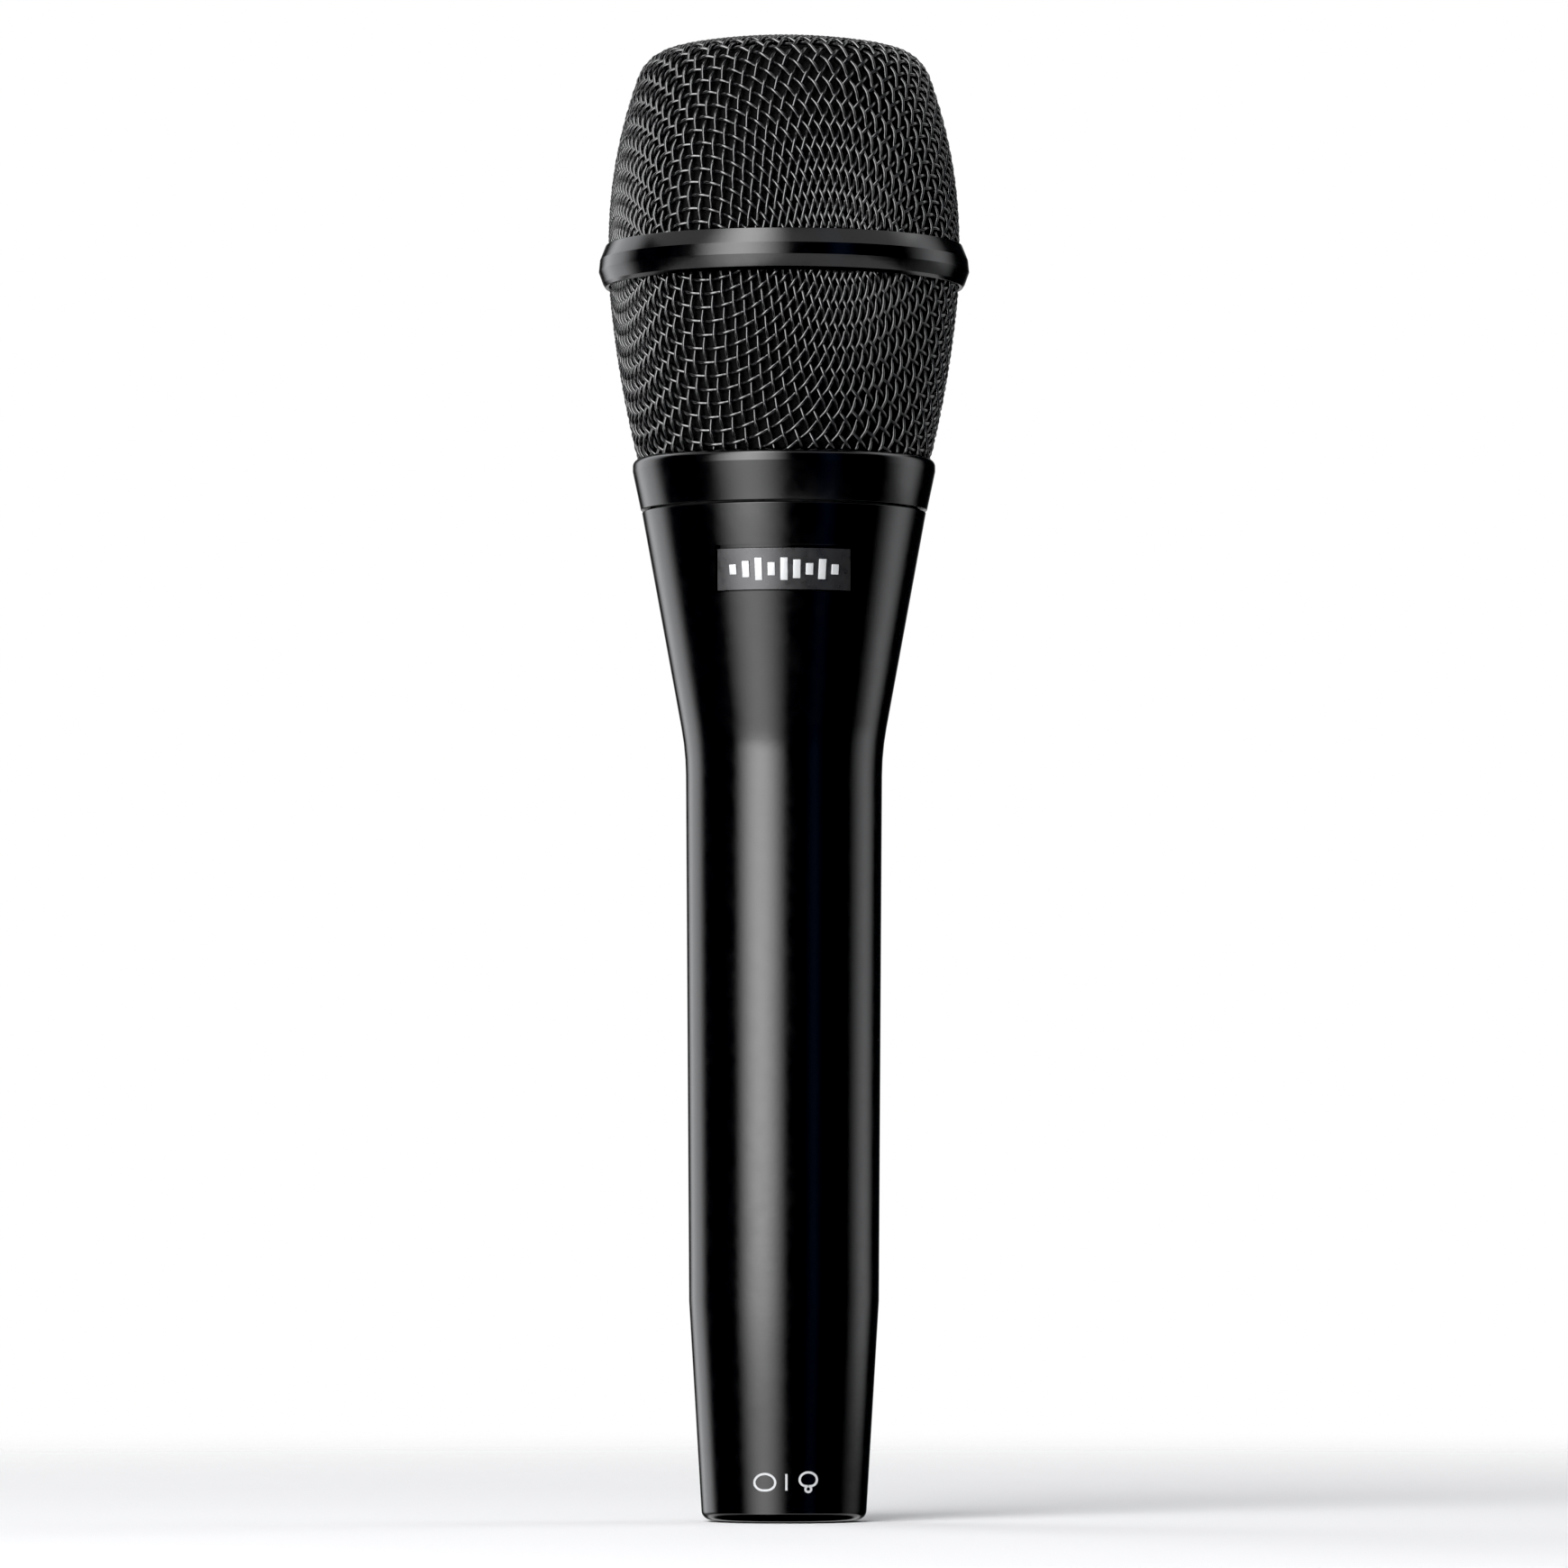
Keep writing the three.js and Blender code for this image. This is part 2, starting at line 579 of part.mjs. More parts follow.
// A cone under a short upright band. Its bore is threaded, its foot covers the gasket, and the lower mesh stands in it.
function grilleCollar() {
  const { bottomZ, bottomR, edgeZ, edgeR, topZ, boreR, threadTopZ, reliefR, meshSeatZ, pocketR } = COLLAR;
  const gasketR = GASKET.outerR + GASKET.recess;
  const gasketZ = GASKET.topZ + GASKET.recess;
  return turned(
    outline([
      [gasketR, bottomZ],
      [bottomR, bottomZ, 0.15],
      [edgeR, edgeZ],
      [edgeR, topZ, 0.2],
      [pocketR, topZ],
      [pocketR, meshSeatZ],
      [reliefR, meshSeatZ],
      [reliefR, threadTopZ],
      [boreR, threadTopZ],
      [boreR, gasketZ],
      [gasketR, gasketZ],
    ]),
  );
}

// ---------------------------------------------------------------- assembly

add("handle_shell", handleShell(), MATERIAL.lacquer);
add("name_plate", namePlate(), MATERIAL.satinBlack);

add("connector_insert", connectorInsert(), MATERIAL.plastic);
pinPlaces.forEach((place, i) => add(`connector_pin_${i + 1}`, connectorPin(place), MATERIAL.gold));
add("retaining_screw", retainingScrew(), MATERIAL.steel);
add("ground_spring", groundSpring(), MATERIAL.brass);

add("circuit_board", circuitBoard(), MATERIAL.fibreglass);
add("board_clip_lower", boardClip(38), MATERIAL.plastic);
add("board_clip_upper", boardClip(90), MATERIAL.plastic);
add("shield_can", component(0, 97, [12, 4.2, 15], -1), MATERIAL.tin);
add("coupling_capacitor_1", capacitor(46, 8, 2.4), MATERIAL.plastic);
add("coupling_capacitor_2", capacitor(61, 8, 2.4), MATERIAL.plastic);
add("filter_capacitor", capacitor(73, 11, 2.9), MATERIAL.plastic);
add("film_capacitor", component(0, 64, [7.2, 3, 6], 1), MATERIAL.redWire);
add("output_transistor_1", component(-3.2, 50, [4, 1.8, 3.4], 1), MATERIAL.plastic);
add("output_transistor_2", component(3.2, 50, [4, 1.8, 3.4], 1), MATERIAL.plastic);
add("input_header", component(0, INPUT_HEADER.z, [7, 3, INPUT_HEADER.height], 1), MATERIAL.whitePlastic);
add("output_header", component(0, OUTPUT_HEADER.z, [7, 3, OUTPUT_HEADER.height], 1), MATERIAL.whitePlastic);

// Each output wire rises from its pin and bends back into the header's underside.
pinPlaces.forEach(([x, y], i) => {
  const headerY = 2.4;
  const route = [
    [x, y, PIN.topZ + FIT],
    [x, y, 29.6],
    [x / 2, headerY, 32],
    [x / 2, headerY, OUTPUT_HEADER.z - FIT],
  ];
  add(`output_wire_${i + 1}`, wire(route, WIRE_R, 6), MATERIAL.redWire);
});

add("neck_plate", neckPlate(), MATERIAL.plastic);
add("mount_cup", mountCup(), MATERIAL.plastic);
const capZ = CUP.topZ + FIT / 3;
add("mount_cap", ring(CUP.capR, CUP.r, capZ, capZ + CUP.capHeight), MATERIAL.plastic);
const isolators = { lower_isolator: LOWER_ISOLATOR, upper_isolator: UPPER_ISOLATOR };
Object.entries(isolators).forEach(([name, { innerR, outerR, bottomZ, topZ }]) => {
  add(name, ring(innerR, outerR, bottomZ, topZ, MEDIUM), MATERIAL.rubber);
});
add("switch_body", switchBody(), MATERIAL.plastic);
add("switch_slider", switchSlider(), MATERIAL.whitePlastic);

add("capsule_stem", capsuleStem(), MATERIAL.plastic);
add("capsule_cradle", capsuleCradle(), MATERIAL.plastic);
add("rear_clamp_ring", clampRing(LAYER.rearRing), MATERIAL.brass);
add("rear_diaphragm", diaphragm(LAYER.rearSkin), MATERIAL.gold);
add("rear_backplate", backplate(LAYER.rearPlate), MATERIAL.brass);
add("backplate_spacer", disc(12, LAYER.spacer, LAYER.spacer + 0.9, MEDIUM), MATERIAL.plastic);
add("front_backplate", backplate(LAYER.frontPlate), MATERIAL.brass);
const insulator = ring(12.6, CAPSULE.r, LAYER.rearPlate - 0.1, LAYER.frontSkin - 0.2, MEDIUM);
add("capsule_insulator", insulator, MATERIAL.plastic);
add("front_diaphragm", diaphragm(LAYER.frontSkin), MATERIAL.gold);
add("front_clamp_ring", clampRing(LAYER.frontRing), MATERIAL.brass);
const addClampScrew = (angle, i) => add(`clamp_screw_${i}`, clampScrew(angle), MATERIAL.steel);
around(CLAMP_SCREW.count, addClampScrew, Math.PI / 6);
add("capsule_guard", capsuleGuard(), MATERIAL.blackSteel);

// Each lead runs from just under the capsule, down the stem's bore, to the board's input header.
Object.entries({ rear_lead: -1.1, front_lead: 1.1 }).forEach(([name, x]) => {
  const route = [
    [x, 0, LAYER.rearRing - 1.3],
    [x, 0, 150],
    [x, 0.2, 134],
    [x, 2.2, 122],
    [x, 2.6, INPUT_HEADER.z + INPUT_HEADER.height + FIT],
  ];
  add(name, wire(route, WIRE_R, 14), MATERIAL.redWire);
});

add("collar_gasket", ring(GASKET.innerR, GASKET.outerR, GASKET.bottomZ, GASKET.topZ), MATERIAL.rubber);
add("grille_collar", grilleCollar(), MATERIAL.lacquer);
add("foam_liner", foamLiner(), MATERIAL.foam);
add("lower_mesh", shellInside(lowerMeshLine(), 0, MESH_THICKNESS), MATERIAL.blackSteel);
add("grille_band", grilleBand(), MATERIAL.lacquer);
add("upper_mesh", shellInside(upperMeshLine(), 0, MESH_THICKNESS), MATERIAL.blackSteel);

export default microphone;
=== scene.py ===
"""A handheld vocal microphone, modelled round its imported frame.

Sizes in the profiles are millimetres, and every finished piece is in metres in the frame's own axes.
"""

from bisect import bisect_right
from itertools import groupby
import json
import math

import bmesh
import bpy
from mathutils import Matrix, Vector


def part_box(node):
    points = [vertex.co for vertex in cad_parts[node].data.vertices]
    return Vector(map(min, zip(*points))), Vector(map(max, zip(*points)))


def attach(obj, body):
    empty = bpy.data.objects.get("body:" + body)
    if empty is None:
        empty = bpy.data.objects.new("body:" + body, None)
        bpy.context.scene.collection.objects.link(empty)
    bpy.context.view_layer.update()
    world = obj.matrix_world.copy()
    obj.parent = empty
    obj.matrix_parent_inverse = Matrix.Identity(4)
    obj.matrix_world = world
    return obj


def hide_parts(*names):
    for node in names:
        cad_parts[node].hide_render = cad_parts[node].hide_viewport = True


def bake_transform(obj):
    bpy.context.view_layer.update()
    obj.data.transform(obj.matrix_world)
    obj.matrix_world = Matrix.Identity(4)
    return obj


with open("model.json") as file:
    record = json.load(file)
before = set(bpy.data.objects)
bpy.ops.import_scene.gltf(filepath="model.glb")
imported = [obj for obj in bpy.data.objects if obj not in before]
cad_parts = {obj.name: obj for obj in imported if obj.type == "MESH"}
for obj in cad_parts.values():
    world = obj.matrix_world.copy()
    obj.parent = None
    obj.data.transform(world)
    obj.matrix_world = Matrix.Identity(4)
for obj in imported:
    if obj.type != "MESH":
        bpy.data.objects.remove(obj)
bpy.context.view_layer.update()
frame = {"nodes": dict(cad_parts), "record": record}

bl_info = {
    "name": "Vocal Microphone",
    "version": (1, 0, 0),
    "blender": (4, 5, 0),
    "location": "View3D > Sidebar > Microphone",
    "description": "Models a handheld vocal microphone and its stage",
    "category": "Object",
}

# ---- sizes read from the frame, in millimetres

MM = 0.001
WELD = 1e-7  # points closer than this, in metres, are one point
ON_AXIS = 1e-6  # a radius under this, in millimetres, is none
FINE, MEDIUM, COARSE = 192, 96, 48  # steps in a full turn


def low(node, axis=2):
    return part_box(node)[0][axis] / MM


def high(node, axis=2):
    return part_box(node)[1][axis] / MM


def span(node, axis=2):
    return low(node, axis), high(node, axis)


def middle_of(node, axis=2):
    return sum(span(node, axis)) / 2


CROWN_Z = high("upper_mesh")
BAND_Z = span("grille_band")
BAND_R = high("grille_band", 0)
COLLAR_Z = span("grille_collar")
COLLAR_R = high("grille_collar", 0)
NECK_TOP = high("handle_shell")
PLATE_Z = span("name_plate")
PLATE_WIDTH = high("name_plate", 0) - low("name_plate", 0)
CAPSULE_R = high("front_clamp_ring", 0)

# How the flat cloth is drawn over each form: its turn about the axis, the flat radius already used up where
# the form starts, and how the cells change past the rim. There they lengthen by the stretch, on the diagonals
# by the shear as well, and crowd toward the diagonals.
CLOTH = {
    "upper": {"turn": -30.9, "start": 0.0, "rim": 16.3, "stretch": 0.12, "shear": 0.176, "crowd": 0.442},
    "lower": {"turn": -26.6, "start": 17.8, "rim": 13.8, "stretch": 0.145, "shear": 0.122, "crowd": 0.37},
}
FULL_DRAW = 25.0  # how far past the rim the crowding is complete
INSIDE = Vector((0, 150))  # a radius and height inside the grille

# The handle's outside, from the rim to the shoulder
HANDLE_TOP = 130.0
BASE_R = 10.56
GRIP_LOW = (12.24, 28.2)
GRIP_TOP = (12.7, 99.05)
SHOULDER_R = 18.38
NECK_R = 16.2
SOCKET_R = 8.15
PLATE_SUNK = 0.1  # how far the name plate lies under the handle's surface


def cone_radius(z):
    """The handle's radius above its bend."""
    return GRIP_TOP[0] + (SHOULDER_R - GRIP_TOP[0]) * (z - GRIP_TOP[1]) / (HANDLE_TOP - GRIP_TOP[1])


def taper_radius(z):
    """The handle's radius below the grip."""
    return BASE_R + (GRIP_LOW[0] - BASE_R) * z / GRIP_LOW[1]


# ---- properties


def colour(name, description, default):
    return bpy.props.FloatVectorProperty(
        name=name, description=description, default=default, subtype="COLOR", size=3, min=0, max=1
    )


def amount(name, description, default, unit="NONE"):
    return bpy.props.FloatProperty(name=name, description=description, default=default, min=0, unit=unit)


def length(name, description, default):
    return amount(name, description, default, "LENGTH")


class MicWeave(bpy.types.PropertyGroup):
    """Sizes of the woven wire"""

    pitch: length("Pitch", "Distance between wires before the mesh is drawn", 1.5 * MM)
    wire_radius: length("Wire radius", "Radius of one wire with its coating", 0.235 * MM)
    steps: bpy.props.IntProperty(name="Steps", description="Straight stretches in one cell", default=4, min=2)
    sides: bpy.props.IntProperty(name="Sides", description="Sides of one wire", default=6, min=3)


class MicColours(bpy.types.PropertyGroup):
    """Colours of the finishes"""

    lacquer: colour("Lacquer", "Handle, collar and band", (0.0007, 0.0007, 0.0009))
    wire: colour("Wire", "Coated grille wire", (0.003, 0.003, 0.0034))
    plate: colour("Name plate", "Satin plate", (0.085, 0.085, 0.088))
    silver: colour("Silver", "Raised bars on the plate", (0.62, 0.63, 0.64))
    ink: colour("Ink", "Printed marks", (0.5, 0.51, 0.52))
    foam: colour("Foam", "Pop filter", (0.0012, 0.0012, 0.0012))


class MicStage(bpy.types.PropertyGroup):
    """Camera and lights"""

    distance: length("Distance", "From the camera to the axis", 1.2)
    height: length("Height", "Of the camera above the surface", 0.035)
    pitch: bpy.props.FloatProperty(
        name="Pitch", description="Upward tilt of the camera", default=math.radians(2.856), subtype="ANGLE"
    )
    lens: amount("Lens", "Focal length in millimetres", 213.4)
    brightness: amount("Brightness", "Scales every softbox", 1.0)


# ---- outlines


def rounded(corners, closed=True, step=math.radians(9)):
    """Corners (radius, height, fillet) as points, with each fillet a true arc."""
    points = []
    for i, corner in enumerate(corners):
        at = Vector(corner[:2])
        fillet = corner[2] if len(corner) > 2 else 0
        if not fillet or (not closed and i in (0, len(corners) - 1)):
            points.append(at)
            continue
        before = (Vector(corners[i - 1][:2]) - at).normalized()
        after = (Vector(corners[(i + 1) % len(corners)][:2]) - at).normalized()
        half = before.angle(after) / 2
        centre = at + (before + after).normalized() * (fillet / math.sin(half))
        start = at + before * (fillet / math.tan(half)) - centre
        end = at + after * (fillet / math.tan(half)) - centre
        turn = start.angle(end)
        count = max(3, math.ceil(turn / step))
        for k in range(count + 1):
            share = k / count
            spoke = (start * math.sin((1 - share) * turn) + end * math.sin(share * turn)) / math.sin(turn)
            points.append(centre + spoke)
    return points


def bezier(start, control, end, count):
    """Points along a quadratic curve, both ends included."""
    a, b, c = Vector(start), Vector(control), Vector(end)
    shares = [i / count for i in range(count + 1)]
    return [a * (1 - t) ** 2 + b * 2 * t * (1 - t) + c * t**2 for t in shares]


def upper_line():
    """The upper mesh's outside, from the crown's pole down to inside the band.

    Above the widest place the heights are stretched, which sets the crown a little proud of its solid.
    """
    side_r, side_z, side_radius = 22.8, 165.0, 60.0
    start, corner, end_z = (14.5, 189.6), (18.35, 188.85), 185.0
    stretch, tuck, curve_steps, steps = 0.027, 0.2, 24, 32

    def side(z):
        return side_r - side_radius + math.sqrt(side_radius**2 - (z - side_z) ** 2)

    crown = bezier((0, CROWN_Z), (start[0] / 2, CROWN_Z), start, curve_steps)
    shoulder = bezier(start, corner, (side(end_z), end_z), curve_steps)
    foot_z = low("upper_mesh") + tuck
    heights = [end_z + (foot_z - end_z) * i / steps for i in range(1, steps + 1)]
    line = crown + shoulder[1:] + [Vector((side(z), z)) for z in heights]
    return [Vector((p.x, p.y + stretch * max(0.0, p.y - side_z))) for p in line]


def lower_line():
    """The lower mesh's outside, from inside the collar up to inside the band."""
    foot, top, radius, steps = Vector((18.72, 135.6)), Vector((22.88, 161.4)), 145.0, 40
    chord = top - foot
    outward = Vector((chord.y, -chord.x)).normalized()
    control = (foot + top) / 2 + outward * chord.length_squared / (4 * radius)
    return bezier(foot, control, top, steps)


def beside(line, distance):
    """The line moved to its left by a distance, as it is walked; a point on the axis stays there."""
    moved = []
    for i, point in enumerate(line):
        along = (line[min(i + 1, len(line) - 1)] - line[max(i - 1, 0)]).normalized()
        shifted = point + Vector((-along.y, along.x)) * distance
        moved.append(Vector((0 if point.x < ON_AXIS else shifted.x, shifted.y)))
    return moved


# ---- modelling helpers


def deselect_all():
    bpy.ops.object.select_all(action="DESELECT")


def activate(piece):
    deselect_all()
    piece.select_set(True)
    bpy.context.view_layer.objects.active = piece


def named(name):
    piece = bpy.context.object
    piece.name = name
    piece.data.name = name
    return piece


def settled(piece):
    """Moves a piece's place, turn and scale into its mesh."""
    activate(piece)
    bpy.ops.object.transform_apply(location=True, rotation=True, scale=True)
    return piece


def face_outwards(piece):
    activate(piece)
    bpy.ops.object.mode_set(mode="EDIT")
    bpy.ops.mesh.select_all(action="SELECT")
    bpy.ops.mesh.normals_make_consistent(inside=False)
    bpy.ops.object.mode_set(mode="OBJECT")
    return piece


def built(name, vertices, faces):
    """A piece made from its own vertices and faces, facing outwards."""
    mesh = bpy.data.meshes.new(name)
    mesh.from_pydata(vertices, [], faces)
    piece = bpy.data.objects.new(name, mesh)
    bpy.context.collection.objects.link(piece)
    return face_outwards(piece)


def turned(name, profile, steps=FINE):
    """A solid of revolution. Its profile closes on itself or starts and ends on the axis."""
    points = [Vector((p[0] * MM, 0, p[1] * MM)) for p in profile]
    deselect_all()
    bpy.ops.mesh.primitive_plane_add(size=MM)
    piece = named(name)
    bpy.ops.object.mode_set(mode="EDIT")
    bpy.ops.mesh.merge(type="CENTER")
    bpy.ops.transform.translate(value=points[0])
    for before, after in zip(points, points[1:]):
        bpy.ops.mesh.extrude_region_move(TRANSFORM_OT_translate={"value": after - before})
    if points[0].x > WELD or points[-1].x > WELD:
        mesh = bmesh.from_edit_mesh(piece.data)
        mesh.verts.ensure_lookup_table()
        for vertex in mesh.verts:
            vertex.select_set(vertex.index in (0, len(mesh.verts) - 1))
        bmesh.update_edit_mesh(piece.data)
        bpy.ops.mesh.edge_face_add()
    bpy.ops.mesh.select_all(action="SELECT")
    bpy.ops.mesh.spin(steps=steps, angle=math.tau, center=(0, 0, 0), axis=(0, 0, 1))
    bpy.ops.mesh.select_all(action="SELECT")
    bpy.ops.mesh.remove_doubles(threshold=WELD)
    bpy.ops.mesh.normals_make_consistent(inside=False)
    bpy.ops.object.mode_set(mode="OBJECT")
    return smooth(piece)


def washer(name, inner_r, outer_r, bottom, top, fillet, steps=FINE):
    corners = [(inner_r, bottom), (outer_r, bottom), (outer_r, top), (inner_r, top)]
    return turned(name, rounded([(*corner, fillet) for corner in corners]), steps)


def slab(name, start, end, edge=0.0):
    """A box between two corners, in millimetres, with its edges rounded where edge is given."""
    deselect_all()
    bpy.ops.mesh.primitive_cube_add(size=1)
    piece = named(name)
    piece.location = [(a + b) / 2 * MM for a, b in zip(start, end)]
    piece.scale = [abs(b - a) * MM for a, b in zip(start, end)]
    settled(piece)
    return bevelled(piece, edge) if edge else piece


def rod(name, start, end, radius, sides=32):
    """A cylinder between two points, in millimetres."""
    a, b = Vector(start) * MM, Vector(end) * MM
    deselect_all()
    bpy.ops.mesh.primitive_cylinder_add(vertices=sides, radius=radius * MM, depth=(b - a).length)
    piece = named(name)
    piece.rotation_mode = "QUATERNION"
    piece.rotation_quaternion = (b - a).to_track_quat("Z", "Y")
    piece.location = (a + b) / 2
    return settled(piece)


def apply(piece, kind, **settings):
    activate(piece)
    modifier = piece.modifiers.new(kind.title(), kind)
    for key, value in settings.items():
        setattr(modifier, key, value)
    bpy.ops.object.modifier_apply(modifier=modifier.name)
    return piece


def bevelled(piece, edge, segments=3, angle=30):
    limit = math.radians(angle)
    apply(piece, "BEVEL", width=edge * MM, segments=segments, limit_method="ANGLE", angle_limit=limit)
    return smooth(piece)


def combine(piece, tool, operation="DIFFERENCE"):
    """Cuts with the tool, joins it or keeps what is in both, and deletes the tool."""
    apply(piece, "BOOLEAN", object=tool, operation=operation, solver="EXACT")
    bpy.data.objects.remove(tool)
    return piece


def smooth(piece, angle=30):
    activate(piece)
    bpy.ops.object.shade_smooth_by_angle(angle=math.radians(angle))
    return piece


def turn_about_axis(piece, angle):
    piece.rotation_euler.z = angle
    return settled(piece)


def joined(name, pieces):
    deselect_all()
    for piece in pieces:
        piece.select_set(True)
    bpy.context.view_layer.objects.active = pieces[0]
    bpy.ops.object.join()
    return named(name)


def tube(name, points, radius, sides=3):
    """A round wire along a smooth curve through points, in millimetres."""
    deselect_all()
    bpy.ops.curve.primitive_nurbs_path_add()
    piece = named(name)
    piece.data.splines.clear()
    spline = piece.data.splines.new("POLY")
    spline.points.add(len(points) - 1)
    for place, point in zip(spline.points, points):
        place.co = (*(Vector(point) * MM), 1)
    piece.data.bevel_depth = radius * MM
    piece.data.bevel_resolution = sides
    piece.data.use_fill_caps = True
    bpy.ops.object.convert(target="MESH")
    return smooth(bpy.context.object, 50)


def surface(slot):
    """The finish of a slot; the frame's own plain materials keep the slots' bare names."""
    return bpy.data.materials[f"{slot}_finish"]


def finish(piece, body, slot, *nodes):
    """Puts a piece on its body, with its finish, in place of the frame's plain nodes."""
    piece.data.materials.clear()
    piece.data.materials.append(surface(slot))
    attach(piece, body)
    if nodes:
        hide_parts(*nodes)
    return piece


# ---- materials


def preset(node, **sockets):
    """Sets a node's inputs, with an underscore for each space in their names."""
    for key, value in sockets.items():
        node.inputs[key.replace("_", " ")].default_value = value
    return node


def add_node(tree, kind, **sockets):
    return preset(tree.nodes.new(f"ShaderNode{kind}"), **sockets)


class Shader:
    """A Principled material with a few procedural layers, all on Object coordinates."""

    def __init__(self, name, base, roughness, metallic=0.0, **sockets):
        self.material = bpy.data.materials.new(f"{name}_finish")
        self.material.use_nodes = True
        self.tree = self.material.node_tree
        self.shader = self.tree.nodes["Principled BSDF"]
        self.base = (*base, 1)
        preset(self.shader, Base_Color=self.base, Roughness=roughness, Metallic=metallic, **sockets)
        self.coordinates = add_node(self.tree, "TexCoord")
        self.normal = None

    def link(self, output, target):
        self.tree.links.new(output, target)

    def noise(self, scale, stretch=(1, 1, 1), detail=3.0):
        """Noise with scale features to the metre, stretched along the axes."""
        mapping = add_node(self.tree, "Mapping", Scale=stretch)
        self.link(self.coordinates.outputs["Object"], mapping.inputs["Vector"])
        texture = add_node(self.tree, "TexNoise", Scale=scale, Detail=detail)
        self.link(mapping.outputs["Vector"], texture.inputs["Vector"])
        return texture.outputs["Fac"]

    def cells(self, scale):
        """Distance to the nearest cell's centre, for the foam's pore pattern."""
        texture = add_node(self.tree, "TexVoronoi", Scale=scale)
        self.link(self.coordinates.outputs["Object"], texture.inputs["Vector"])
        return texture.outputs["Distance"]

    def vary_roughness(self, source, lowest, highest):
        spread = add_node(self.tree, "MapRange", From_Min=0.3, From_Max=0.7, To_Min=lowest, To_Max=highest)
        self.link(source, spread.inputs["Value"])
        self.link(spread.outputs["Result"], self.shader.inputs["Roughness"])
        return self

    def vary_colour(self, source, other):
        blend = add_node(self.tree, "Mix")
        blend.data_type = "RGBA"
        preset(blend, A=self.base, B=(*other, 1))
        self.link(source, blend.inputs["Factor"])
        self.link(blend.outputs["Result"], self.shader.inputs["Base Color"])
        return self

    def bump(self, source, depth):
        """Relief of a depth in millimetres, laid over any relief already there."""
        node = add_node(self.tree, "Bump", Distance=depth * MM)
        self.link(source, node.inputs["Height"])
        if self.normal:
            self.link(self.normal, node.inputs["Normal"])
        self.normal = node.outputs["Normal"]
        self.link(self.normal, self.shader.inputs["Normal"])
        return self


def scaled(base, factor):
    return tuple(min(1.0, value * factor) for value in base)


def make_lacquer(colours):
    """Sprayed semi-gloss over a turned blank: faint rings from the lathe and a finer orange peel."""
    base = tuple(colours.lacquer)
    coat = Shader("lacquer", base, 0.2, IOR=1.5)
    rings = coat.noise(900, stretch=(0.05, 0.05, 3.0), detail=2)
    coat.vary_roughness(coat.noise(500), 0.11, 0.17)
    coat.vary_colour(coat.noise(60), scaled(base, 1.3))
    coat.bump(rings, 0.0016).bump(coat.noise(1900, detail=2), 0.003)


def make_wire(colours):
    """Coated steel wire: a thin, uneven coat."""
    base = tuple(colours.wire)
    coat = Shader("mesh_wire", base, 0.2, IOR=1.85)
    coat.vary_roughness(coat.noise(700), 0.14, 0.24)
    coat.vary_colour(coat.noise(900), scaled(base, 1.8))
    coat.bump(coat.noise(5200, detail=2), 0.006)


def make_plain_finishes(colours):
    """The moulded, turned and plated finishes: colour, roughness, metal, grain to the metre and its depth."""
    rows = [
        ("name_plate", tuple(colours.plate), 0.3, 0.9, 2400, 0.004),
        ("silver", tuple(colours.silver), 0.4, 0.3, 3000, 0.002),
        ("ink", tuple(colours.ink), 0.5, 0.0, 4000, 0.002),
        ("rubber", (0.011, 0.011, 0.011), 0.75, 0.0, 1800, 0.02),
        ("plastic", (0.014, 0.014, 0.015), 0.45, 0.0, 2600, 0.008),
        ("white_plastic", (0.62, 0.62, 0.59), 0.4, 0.0, 2200, 0.004),
        ("brass", (0.72, 0.52, 0.24), 0.26, 1.0, 1200, 0.004),
        ("gold", (0.9, 0.66, 0.3), 0.16, 1.0, 900, 0.002),
        ("steel", (0.58, 0.59, 0.61), 0.26, 1.0, 1500, 0.004),
        ("guard_steel", (0.022, 0.022, 0.024), 0.34, 0.3, 1900, 0.006),
        ("board", (0.012, 0.085, 0.035), 0.35, 0.0, 700, 0.01),
        ("tin", (0.62, 0.63, 0.64), 0.34, 1.0, 1000, 0.006),
        ("lead", (0.34, 0.022, 0.02), 0.42, 0.0, 1500, 0.005),
    ]
    for name, base, roughness, metallic, grain, depth in rows:
        stretch = (0.1, 0.1, 2.5) if name in ("brass", "gold", "steel") else (1, 1, 1)  # turned, or even
        coat = Shader(name, base, roughness, metallic)
        coat.vary_roughness(coat.noise(grain / 3), roughness * 0.8, roughness * 1.2)
        coat.vary_colour(coat.noise(grain / 8), scaled(base, 0.72))
        coat.bump(coat.noise(grain, stretch), depth)


def make_foam(colours):
    """Open-cell foam: each pore sunk by the bump and darkened with painted shade towards its centre, between
    paler threads.
    """
    base = tuple(colours.foam)
    foam = Shader("foam", base, 0.95, IOR=1.3)
    pore_depth_and_painted_shade = foam.cells(1500)
    # painted shade: the colour darkens towards each pore's centre, where the bump sinks deepest
    foam.vary_colour(pore_depth_and_painted_shade, scaled(base, 2.5))
    foam.bump(pore_depth_and_painted_shade, 0.25)


# ---- operators


class MIC_OT_finishes(bpy.types.Operator):
    """Make every finish"""

    bl_idname = "mic.finishes"
    bl_label = "Finishes"

    def execute(self, context):
        colours = context.scene.mic_colours
        make_lacquer(colours)
        make_wire(colours)
        make_plain_finishes(colours)
        make_foam(colours)
        return {"FINISHED"}


